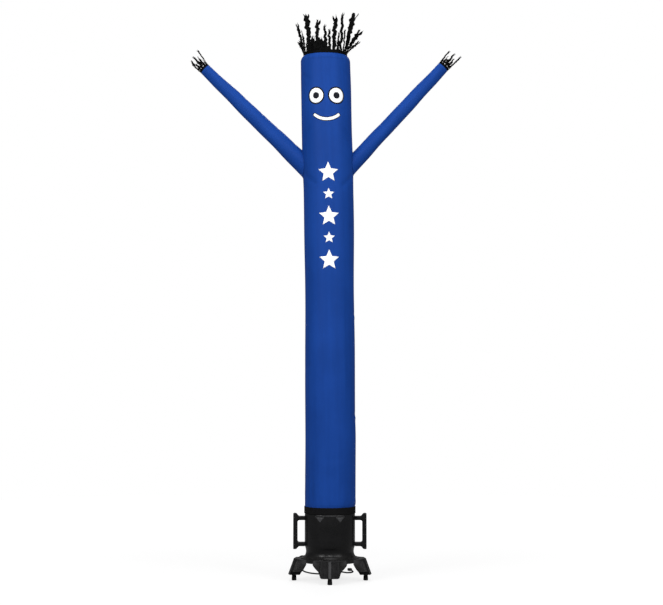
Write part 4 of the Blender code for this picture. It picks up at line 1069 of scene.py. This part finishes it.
def root_run(side, angle):
    """How far along each line of the arm's wall it meets the body: the interval is halved 40 times."""
    low, high = (np.full(angle.shape, end) for end in ARM_SEARCH)
    for _ in range(40):
        middle = (low + high) / 2.0
        x, y, z = np.moveaxis(arm_point(side, angle, middle), -1, 0)
        axis = FAN_AXIS + flowing(z, TUBE_SHAPE[:, 0], TUBE_SHAPE[:, 2])
        skin_x, skin_y, _ = np.moveaxis(tube_point(np.arctan2(x - axis, -y), z), -1, 0)
        inside = np.hypot(x - axis, y) < np.hypot(skin_x - axis, skin_y)
        low, high = np.where(inside, middle, low), np.where(inside, high, middle)
    return high


arm_pieces = {}
turn = full_turn(72)
for side in ARM_SHAPES:
    length = arm_frame(side)[3]
    start = root_run(side, turn) + ARM_CLEAR
    run = start + (length - start) * np.linspace(0.0, 1.0, 120)[:, None]
    angle = np.broadcast_to(turn, run.shape)
    across, hem = short_way(angle - ARM_SEAM) * ARM_MEAN, run - (length - ARM_HEM)
    by_hem = (np.abs(hem) < np.abs(across))[..., None]
    seam_map = np.where(by_hem, np.stack((hem, angle * 0.04), -1), np.stack((across, run), -1))
    maps = {"cloth": np.stack((angle * ARM_MEAN, run), axis=-1), "seam": seam_map}
    arm_pieces[side] = fitted("arm_cloth_" + side, arm_point(side, angle, run), blue_nylon, "blue_nylon",
                              "arm_" + side, maps=maps)
    thicken(arm_pieces[side], CLOTH_THICK)


# ---- Seams round the arms' roots
# Where an arm meets the body the two cut edges are folded together and sewn into a narrow raised cord.
# It is the same blue nylon, doubled, so it looks a little deeper.

ROOT_FOLD, FOLD_PUCKER, FOLD_PUCKERS = 0.0022, 0.16, 24.0      # its radius; its puckers' share and number
FOLD_ALONG, FOLD_LIFT = 0.0006, 0.0004         # its middle, past where the cloths meet and off the arm
fold_nylon = coated_nylon("fold_nylon", NYLON_BLUE_DEEP, (0.006, 0.028, 0.155, 1.0), roughness=0.58)
turn, section = full_turn(96), full_turn(10)
for side in ARM_SHAPES:
    path = arm_point(side, turn, root_run(side, turn) + FOLD_ALONG, lift=FOLD_LIFT)
    ahead = np.roll(path[:-1], -1, axis=0) - np.roll(path[:-1], 1, axis=0)
    ahead = unit(np.concatenate((ahead, ahead[:1])))
    outward = path - path[:-1].mean(axis=0)
    outward = unit(outward - np.sum(outward * ahead, axis=1, keepdims=True) * ahead)
    beside = np.cross(ahead, outward)
    pucker = ROOT_FOLD * (1.0 + FOLD_PUCKER * np.sin(FOLD_PUCKERS * turn))[:, None, None]
    fold = path[:, None] + pucker * (np.cos(section)[:, None] * outward[:, None]
                                     + np.sin(section)[:, None] * beside[:, None])
    flat = np.stack(np.meshgrid(section * 0.002, turn * 0.06), axis=-1)
    fitted("root_fold_" + side, fold, fold_nylon, "blue_nylon",
                              maps={"cloth": flat, "seam": flat})


# ---- Fastening strap
# A 40 mm black polyester webbing strap, drawn tight round the tube's lower hem and the fan's collar.
# Its thick woven edges stand a little proud.

STRAP_LOW, STRAP_HIGH, STRAP_IN, STRAP_OUT = 0.4055, 0.4460, 0.1523, 0.1565
STRAP_RIB, STRAP_RIBS, STRAP_EDGE, STRAP_EDGE_WIDE = 0.00035, 14.0, 0.0005, 0.0035
STRAP_BEND = 0.0012        # the height its rounded edges take up
strap_heights = np.linspace(STRAP_LOW + STRAP_BEND, STRAP_HIGH - STRAP_BEND, 22)
ribs = STRAP_RIB * np.cos((strap_heights - STRAP_LOW) / (STRAP_HIGH - STRAP_LOW) * STRAP_RIBS * pi)
edge = STRAP_EDGE * (np.minimum(strap_heights - STRAP_LOW, STRAP_HIGH - strap_heights) < STRAP_EDGE_WIDE)
strap_outside = np.stack((strap_heights, STRAP_OUT - 0.0009 + ribs + edge), axis=-1)
edge_in, edge_out = STRAP_IN + 0.0004, STRAP_OUT - 0.0013
strap_profile = np.concatenate((((STRAP_LOW, edge_in), (STRAP_LOW, edge_out)), strap_outside,
                                ((STRAP_HIGH, edge_out), (STRAP_HIGH, edge_in),
                                 (STRAP_HIGH - 0.0006, STRAP_IN), (STRAP_LOW + 0.0006, STRAP_IN),
                                 (STRAP_LOW, edge_in))))
strap_turn = full_turn(144)
strap_rise = np.cumsum(np.concatenate(((0.0,), np.linalg.norm(np.diff(strap_profile, axis=0), axis=1))))
strap_flat = np.stack(np.meshgrid(strap_turn * STRAP_OUT, strap_rise), axis=-1)


def webbing(name, colour, pale):
    """Polyester webbing: a chevron weave in relief and tone, on cloth measured in metres."""
    material, tree = bare(name)
    flat = split(tree, cloth_map(tree))
    slanted = maths(tree, "ADD", flat["X"], maths(tree, "PINGPONG", flat["Y"], 0.0045))
    raised = between(tree, maths(tree, "SINE", times(tree, slanted, tau / 0.0022)), -0.6, 0.8)
    base = tinted(tree, colour, raised, noise(tree, on_piece(tree), 40.0), pale)
    dress(tree, base, plus(tree, 0.70, raised, 0.12), raised, 0.7, 0.0003, specular=0.08)
    return material


black_webbing = webbing("black_webbing", (0.0030, 0.0030, 0.0033, 1.0), (0.0085, 0.0085, 0.0092, 1.0))
strap = fitted("webbing_strap", about_fan(turned(strap_profile, strap_turn)), black_webbing, "black_webbing",
               "fastening_strap", maps={"cloth": strap_flat})


# ---- Hair
# Black nylon ribbons sewn into a narrow hem band round the head's mouth. Air blows them up and
# outwards; each is cut by hand, so it is crinkled, a little twisted and frayed at its end.

BAND_WIDE, RIBBON_DEEP, RIBBON_THICK = 0.0240, 0.0020, 0.0009
BAND_SEEN = {"hair": 0.0200, "hand": 0.0150}   # the hem's width; the ribbons stay whole up to BAND_WIDE
RIBBON_CURL, KINK_LEAST, RIBBON_STEPS, RIBBON_SEWN = 1.25, 0.20, 7, 0.0060
FRINGES = {
    # name: ribbons, sections along each, full kink as a share of a section, seed of its own wandering
    "hair_fringe": (32, 6, 0.22, 20),
    "hand_fringe_left": (12, 4, 0.18, 5),
    "hand_fringe_right": (12, 4, 0.18, 8),
}
MAIN_RIBBONS = {
    # name: place round the band: reach of the tip, rise above the band, width, twist in degrees
    "hair_fringe": {
        0: (0.138, 0.144, 0.017, 20.0), 1: (0.127, 0.121, 0.016, 30.0), 2: (0.161, 0.183, 0.023, 30.0),
        3: (0.152, 0.100, 0.010, 30.0), 4: (0.153, 0.222, 0.018, 60.0), 5: (0.146, 0.130, 0.011, 50.0),
        6: (0.190, 0.219, 0.028, 75.0), 7: (0.217, 0.124, 0.026, 75.0), 9: (0.215, 0.081, 0.019, -80.0),
        23: (0.169, 0.080, 0.020, 80.0), 25: (0.178, 0.172, 0.020, -80.0), 26: (0.148, 0.092, 0.014, -60.0),
        28: (0.161, 0.205, 0.028, -50.0), 29: (0.133, 0.074, 0.021, -25.0), 30: (0.118, 0.173, 0.021, -30.0),
        31: (0.134, 0.066, 0.021, 10.0),
    },
    "hand_fringe_left": {
        0: (0.037, 0.077, 0.012, 20.0), 2: (0.050, 0.033, 0.011, -60.0), 3: (0.052, 0.094, 0.012, 80.0),
        5: (0.044, 0.059, 0.012, -40.0), 9: (0.022, 0.076, 0.013, 80.0),
    },
    "hand_fringe_right": {
        0: (0.036, 0.079, 0.012, 20.0), 1: (0.037, 0.059, 0.011, 40.0), 3: (0.036, 0.101, 0.012, -80.0),
        9: (0.037, 0.078, 0.013, -80.0),
    },
}
LOOSE_RIBBONS = {
    # kind: least and most reach, rise, width and twist of the others
    "hair": ((0.140, 0.176), (0.060, 0.150), (0.015, 0.019), (20.0, 80.0)),
    "hand": ((0.036, 0.044), (0.035, 0.065), (0.009, 0.011), (10.0, 50.0)),
}
INWARD_EVERY, INWARD_HAIR = 3, ((0.070, 0.100), (0.050, 0.110), (0.013, 0.016), (10.0, 60.0))
RIBBON_BLACK = (0.0005, 0.0005, 0.0006, 1.0)
# A ribbon's width at the band is a share of the spacing, and it has its own width by the rise.
ROOT_SHARE, ROOT_RISE = {"hair": 0.70, "hand": 0.80}, {"hair": 0.024, "hand": 0.016}
THICKET, THICKET_ROOT, THICKET_RISE = (28, 1), 1.70, 0.070     # both, in the thickest hair, slot to slot
PLAIN_END = {"hair": 0.80, "hand": 0.40}       # the ends' width, as a share of the ribbon's; where it differs:
BROAD_ENDS = {"hair": {28: 1.25, 6: 1.25, 7: 1.10, 30: 1.15, 2: 1.20}, "hand": {0: 0.85, 3: 0.80, 9: 0.80}}


def ribbon_sizes(name, slot, rng):
    """Reach, rise, width and twist of one ribbon, from the table or wandering between two bounds."""
    wander = [rng.random() for _ in range(4)]
    hand = rng.choice((-1.0, 1.0))
    if slot in MAIN_RIBBONS[name]:
        return MAIN_RIBBONS[name][slot]
    bounds = INWARD_HAIR if name == "hair_fringe" and slot % INWARD_EVERY == 0 else LOOSE_RIBBONS[name[:4]]
    reach, rise, width, twist = (low + (high - low) * share for (low, high), share in zip(bounds, wander))
    return reach, rise, width, hand * twist


def ribbon_grid(base_radius, azimuth, sizes, sections, kink, rng, crinkle, root, end_share):
    """One ribbon: a strip carried up its centre line.

    The line leans out by its reach with a small kink at each section. The strip turns about the line
    by its twist, is cupped like a gutter, has edges that wander, and ends in uneven frayed points.
    root holds its width at the band and the height by which it has its own width.
    """
    reach, rise, width, twist = sizes
    radial = np.array((sin(azimuth), -cos(azimuth), 0.0))
    across = np.array((cos(azimuth), sin(azimuth), 0.0))
    side = rng.choice((-1.0, 1.0))
    knots = [radial * base_radius + upright * height for height in (BAND_WIDE - RIBBON_SEWN, BAND_WIDE)]
    for step in range(1, sections + 1):
        part = step / sections
        sway = side * kink * rise / sections * rng.uniform(KINK_LEAST, 1.0)
        out = base_radius + (reach - base_radius) * part ** RIBBON_CURL
        knots.append(radial * out + across * sway + upright * (BAND_WIDE + rise * part))
        side = -side
    line = through(np.array(knots), RIBBON_STEPS)
    ahead = unit(np.gradient(line, axis=0))
    flat = unit(across - np.sum(ahead * across, axis=1, keepdims=True) * ahead)
    away = np.cross(flat, ahead)
    part = np.clip((np.arange(len(line)) - RIBBON_STEPS) / (len(line) - RIBBON_STEPS - 1.0), 0.0, 1.0)
    phase = azimuth * 7.0
    turn = radians(twist) * part + 0.22 * np.sin(9.0 * part + phase) * part
    wide = (flat * np.cos(turn)[:, None] + away * np.sin(turn)[:, None])[:, None]
    face = (away * np.cos(turn)[:, None] - flat * np.sin(turn)[:, None])[:, None]
    u = np.linspace(-1.0, 1.0, 9)[None, :, None]
    p = part[:, None, None]
    edge = 1.0 + crinkle * (
        0.20 * np.sin(31.0 * p + phase + 1.3 * u) + 0.16 * np.sin(57.0 * p - 2.0 * phase * u))
    spread = root[0] + (width - root[0]) * smooth_step(p * rise / root[1])
    half = spread / 2.0 * edge * (1.0 + (end_share - 1.0) * p ** 2)
    cup = width * (0.16 + 0.05 * np.sin(11.0 * p + phase)) * (u ** 2 - 0.4)
    ripple = crinkle * 0.0014 * np.sin(43.0 * p + phase + 2.0 * u) * smooth_step(p / 0.2)
    notch = bell_curve(u - 0.4 * np.sin(phase), 0.30)
    uneven = 0.30 * np.sin(5.0 * u + phase) + 0.22 * np.cos(9.0 * u - phase) - 0.7 * notch + end_share - 0.8
    fray = smooth_step((p - 0.86) / 0.14) * width * uneven
    return line[:, None] + u * half * wide + (cup + ripple) * face + fray * ahead[:, None]


def band_grid(radius, wide):
    """The hem band: a doubled strip with rolled edges, drawn into small gathers round the mouth."""
    inside = radius - RIBBON_DEEP
    profile = np.array(((0.0006, inside), (0.0, inside + 0.0004), (0.0, radius - 0.0004), (0.0012, radius),
                        (wide * 0.25, radius - 0.0002), (wide * 0.5, radius - 0.0003),
                        (wide * 0.75, radius - 0.0002), (wide - 0.0012, radius), (wide, radius - 0.0005),
                        (wide, inside + 0.0005), (wide - 0.0012, inside), (wide * 0.5, inside + 0.0002),
                        (0.0006, inside)))
    turn = full_turn(96)
    gather = 0.0005 * np.cos(turn * round(radius * 230.0)) * np.sin(profile[:, :1] / wide * pi)
    return ringed(profile[:, 1:] - 0.0005 + gather, turn, profile[:, :1])


def joined(name, grids, maps=None):
    """Skin several grids and keep them in one mesh, each with its own flat map in metres."""
    bm = bmesh.new()
    for grid, flat in zip(grids, maps or [None] * len(grids)):
        mesh = skin(name, grid, None if flat is None else {"cloth": flat}, outward=False)
        bm.from_mesh(mesh)
        bpy.data.meshes.remove(mesh)
    mesh = bpy.data.meshes.new(name)
    bm.to_mesh(mesh)
    bm.free()
    mesh.shade_smooth()
    return mesh


def ribbon_cloth(name, colour, pale):
    """Thin black nylon: fine threads along and across, drawn paler where the cloth is creased."""
    material, tree = bare(name)
    weave = node(tree, "Group", {"Cloth": cloth_map(tree), "Square": 0.005}, node_tree=RIPSTOP).outputs
    crumple = noise(tree, on_piece(tree), 55.0, 5.0, 0.6)
    tone = between(tree, crumple, 0.45, 0.80)
    base = tinted(tree, mixed(tree, tone, colour, pale), weave["Grid"], 0.3, pale)
    height = maths(tree, "ADD", times(tree, crumple, 6.0), weave["Height"])
    dress(tree, base, plus(tree, 0.58, tone, 0.12), height, 0.5, 0.0002, specular=0.05)
    return material


def carried(grid, origin, x_axis, y_axis, z_axis):
    """Points given along three axes, put in place."""
    return origin + grid[..., :1] * x_axis + grid[..., 1:2] * y_axis + grid[..., 2:] * z_axis


def make_fringe(node_name, label, radius, seat, crinkle):
    """The band and its ribbons for one open end, as two pieces that stand for one CAD node."""
    slots, sections, kink, seed = FRINGES[node_name]
    kind = node_name[:4]
    rng = random.Random(seed)
    strips, flats = [], []
    for slot in range(slots):
        azimuth = slot * tau / slots
        sizes = ribbon_sizes(node_name, slot, rng)
        share, lasts = ROOT_SHARE[kind], ROOT_RISE[kind]
        if kind == "hair" and (slot >= THICKET[0] or slot < THICKET[1]):
            share, lasts = THICKET_ROOT, THICKET_RISE
        root = share * tau * radius / slots, lasts
        end_share = BROAD_ENDS[kind].get(slot, PLAIN_END[kind])
        strip = ribbon_grid(radius - RIBBON_DEEP / 2.0, azimuth, sizes, sections,
                            kink, rng, crinkle, root, end_share)
        strips.append(carried(strip, *seat))
        rows, columns = strip.shape[:2]
        run = np.linspace(0.0, sizes[1] + RIBBON_SEWN, rows)
        flats.append(np.stack(np.meshgrid(
            np.linspace(-0.5, 0.5, columns) * sizes[2] + slot * 0.031, run), axis=-1))
    name = label + "_ribbons"
    ribbons = set_in_place(name, joined(name, strips, flats), black_nylon, "black_nylon", node_name)
    thicken(ribbons, RIBBON_THICK, offset=0.0)
    band = band_grid(radius, BAND_SEEN[kind])
    flat = np.stack(np.meshgrid(
        full_turn(band.shape[1] - 1) * radius, np.linspace(0.0, 0.05, band.shape[0])), axis=-1)
    return ribbons, fitted(label + "_band", carried(band, *seat), black_nylon, "black_nylon", node_name,
                           maps={"cloth": flat})


black_nylon = ribbon_cloth("black_nylon", RIBBON_BLACK, (0.0022, 0.0022, 0.0025, 1.0))
mouth_height, mouth_radius, mouth_drift = TUBE_SHAPE[-1]
hair_seat = (np.array((FAN_AXIS + mouth_drift, 0.0, mouth_height + SEAT_GAP)), *np.eye(3))
hair_ribbons, hair_band = make_fringe("hair_fringe", "hair", mouth_radius, hair_seat, 1.0)


# ---- Hands
# The same black ribbons, shorter and narrower, sewn into a band past each arm's open end.
# They stream out along the arm.

for side in ARM_SHAPES:
    root, along, sideways, length = arm_frame(side)
    seat = (root + along * (length + SEAT_GAP), sideways, np.array((0.0, 1.0, 0.0)), along)
    make_fringe("hand_fringe_" + side, "hand_" + side, ARM_SHAPES[side][3], seat, 0.8)


# ---- Printed face
# A plain smiling face screen-printed on the cloth in white and near-black ink: two round eyes with
# round pupils and an even curved mouth. The ink lies on the nylon and follows its creases.

INK_THICK = 0.00025
WHITE_LIFT, DARK_LIFT, EDGE_LIFT, MOUTH_LIFT = 0.0004, 0.0007, 0.0003, 0.0007      # how far each stands proud
EYE_OUT, EYE_HEIGHT, EYE_RADIUS, EYE_RIM, EYE_OVERLAP = 0.0640, 2.9300, 0.0470, 0.0065, 0.0015
PUPIL_RADIUS = 0.0200
MOUTH_HEIGHT, MOUTH_RADIUS, MOUTH_HALF_TURN, MOUTH_HALF_WIDE = 2.9000, 0.1150, radians(40.0), 0.0085
MOUTH_EDGE = 0.0045


def on_cloth(across, height, lift):
    """Ink at a place on the flat cloth: metres to the right of the front line, and height above the floor."""
    return tube_point(across / TUBE_MEAN, height, lift)


def eyes(inner, outer, lift, rings):
    """Two round spots, one for each eye, or two rings where inner isn't 0."""
    turn, out = np.meshgrid(full_turn(72), np.linspace(inner, outer, rings))
    return [on_cloth(hand * EYE_OUT + out * np.cos(turn), EYE_HEIGHT + out * np.sin(turn), lift)
            for hand in (-1.0, 1.0)]


def curved_bar(lift, grow=0.0):
    """The mouth: a bar of even width along part of a circle, closed by half circles."""
    u, v = np.meshgrid(np.linspace(-1.0, 1.0, 81), np.linspace(-1.0, 1.0, 9))
    half = MOUTH_HALF_WIDE + grow
    cap = half / MOUTH_RADIUS
    turn = u * (MOUTH_HALF_TURN + cap)
    past = np.maximum(0.0, (np.abs(turn) - MOUTH_HALF_TURN) / cap)
    out = MOUTH_RADIUS + v * half * np.sqrt(np.maximum(0.0, 1.0 - past ** 2))
    return on_cloth(out * np.sin(turn), MOUTH_HEIGHT - out * np.cos(turn), lift)


def ink(name, colour, faded):
    """Screen ink: matte, with the cloth's weave showing through it and faint thin patches."""
    material, tree = bare(name)
    place = on_piece(tree)
    laid_flat = node(tree, "Mapping", {"Vector": place, "Rotation": (radians(-90.0), 0.0, 0.0)}).outputs[0]
    weave = node(tree, "Group", {"Cloth": laid_flat}, node_tree=RIPSTOP).outputs
    patch = between(tree, noise(tree, place, 35.0, 6.0, 0.65), 0.55, 0.80)
    base = tinted(tree, mixed(tree, patch, colour, faded), weave["Grid"], 0.12, faded)
    dress(tree, base, plus(tree, 0.55, patch, 0.1), weave["Height"], 0.4, 0.0001, specular=0.10)
    return material


def print_on(name, grids, material):
    """Put ink shapes on the cloth as one thin closed piece."""
    mesh = joined(name, grids)
    bm = bmesh.new()
    bm.from_mesh(mesh)
    bm.normal_update()
    if sum(face.normal.y * face.calc_area() for face in bm.faces) > 0.0:
        bmesh.ops.reverse_faces(bm, faces=bm.faces)
    bm.to_mesh(mesh)
    bm.free()
    thicken(set_in_place(name, mesh, material, "blue_nylon"), INK_THICK)


white_ink = ink("white_ink", (0.86, 0.86, 0.85, 1.0), (0.72, 0.74, 0.78, 1.0))
dark_ink = ink("dark_ink", (0.0035, 0.0040, 0.0080, 1.0), (0.006, 0.010, 0.026, 1.0))
rims = eyes(EYE_RADIUS - EYE_OVERLAP, EYE_RADIUS + EYE_RIM, DARK_LIFT, 5)
print_on("face_white", eyes(0.0, EYE_RADIUS, WHITE_LIFT, 8) + [curved_bar(MOUTH_LIFT)], white_ink)
print_on("face_dark", rims + eyes(0.0, PUPIL_RADIUS, DARK_LIFT, 6), dark_ink)
print_on("mouth_edge", [curved_bar(EDGE_LIFT, MOUTH_EDGE)], dark_ink)


# ---- Printed stars
# A column of plain five-pointed stars, large and small in turn, screen-printed in white down the front.

STARS = (
    # height, radius
    (2.460, 0.0640), (2.330, 0.0360), (2.195, 0.0640), (2.065, 0.0360), (1.930, 0.0640))
STAR_NOTCH = 0.46          # inner corners' radius as a share of the points'


def star(height, size):
    """Straight lines from each point to the corner beside it, in polar form, filled from the middle."""
    turn = full_turn(80)
    from_point = np.abs(short_way(turn, tau / 5.0))
    x, y = STAR_NOTCH * cos(pi / 5.0), STAR_NOTCH * sin(pi / 5.0)
    edge = y / (np.cos(from_point) * y - np.sin(from_point) * (x - 1.0))
    out = np.linspace(0.0, 1.0, 9)[:, None] * (edge * size)
    return on_cloth(-out * np.sin(turn), height + out * np.cos(turn), WHITE_LIFT)


print_on("star_column", [star(height, size) for height, size in STARS], white_ink)


# ---- Studio
# A plain pale floor and a white room, soft light from large panels, and a camera at chest height.

CAMERA_PLACE, CAMERA_LIFT = (FAN_AXIS + 0.00975, -9.3, 1.2), radians(92.962)
SENSOR_WIDE = 36.0
camera_data = bpy.data.cameras.new("studio_camera")
camera_data.sensor_fit, camera_data.sensor_width = "HORIZONTAL", SENSOR_WIDE
camera_data.lens = 1526.0 * SENSOR_WIDE / 663.0            # 1526 is the focal length of a view 663 wide
camera_data.clip_end = 200.0
camera = added("studio_camera", camera_data)
camera.location, camera.rotation_euler = CAMERA_PLACE, (CAMERA_LIFT, 0.0, 0.0)
bpy.context.scene.camera = camera

FLOOR_RADIUS, FLOOR_LEVEL = 7.0, -0.0004
FLOOR_GLOW, FLOOR_LIGHT = (0.8, 6.5, 0.785, 0.965), 0.14   # its own light, near and far off; as a light, less
floor_edge = ringed(FLOOR_RADIUS, full_turn(96)[:-1], FLOOR_LEVEL)
floor_mesh = bpy.data.meshes.new("studio_floor")
floor_mesh.from_pydata(floor_edge.tolist(), [], [list(range(len(floor_edge)))])
floor = added("studio_floor", floor_mesh)
paint, floor_tree = bare("floor_paint")
far_off = node(floor_tree, "VectorMath", {0: on_piece(floor_tree)}, operation="LENGTH").outputs["Value"]
evened = between(floor_tree, far_off, *FLOOR_GLOW)
floor_seen = node(floor_tree, "LightPath").outputs["Is Camera Ray"]
feed(floor_tree, floor_tree.nodes["Principled BSDF"], {
    "Base Color": (0.20, 0.20, 0.20, 1.0), "Roughness": 0.9, "Specular IOR Level": 0.1,
    "Emission Color": (1.0, 1.0, 1.0, 1.0),
    "Emission Strength": between(floor_tree, floor_seen, 0.0, 1.0, FLOOR_LIGHT, evened),
})
floor_mesh.materials.append(paint)

PANEL_AIM = Vector((0.0, 0.0, 1.7))
PANELS = (
    # name, place, width, watts
    ("left_panel", (-4.7, -5.4, 4.4), 3.0, 262.0),
    ("middle_panel", (0.1, -7.2, 4.4), 2.4, 184.0),
    ("right_panel", (4.7, -5.4, 4.4), 3.0, 198.0),
    ("top_panel", (0.0, -1.2, 7.5), 3.0, 120.0),
    ("back_panel", (0.4, 4.8, 6.4), 3.0, 140.0),
)
for name, place, size, power in PANELS:
    light = bpy.data.lights.new(name, "AREA")
    light.shape, light.size, light.energy = "SQUARE", size, power
    panel = added(name, light)
    panel.location = place
    panel.rotation_euler = (PANEL_AIM - Vector(place)).to_track_quat("-Z", "Y").to_euler()

# The room is plain white where the camera sees it, and dimmer as a light, most of all behind the
# figure, so that black stays black.
ROOM_GLOW = (-0.3, 0.5, 0.40, 0.18)            # from in front of the figure to behind it
room = bpy.data.worlds.new("white_room")
room.use_nodes = True
sky = room.node_tree
seen = node(sky, "LightPath").outputs["Is Camera Ray"]
behind = split(sky, node(sky, "TexCoord").outputs["Generated"])["Y"]
dimmed = between(sky, behind, *ROOM_GLOW)
feed(sky, sky.nodes["Background"], {
    "Color": (1.0, 1.0, 1.0, 1.0), "Strength": between(sky, seen, 0.0, 1.0, dimmed, 1.0),
})
bpy.context.scene.world = room
bpy.context.scene.view_settings.view_transform = "Standard"
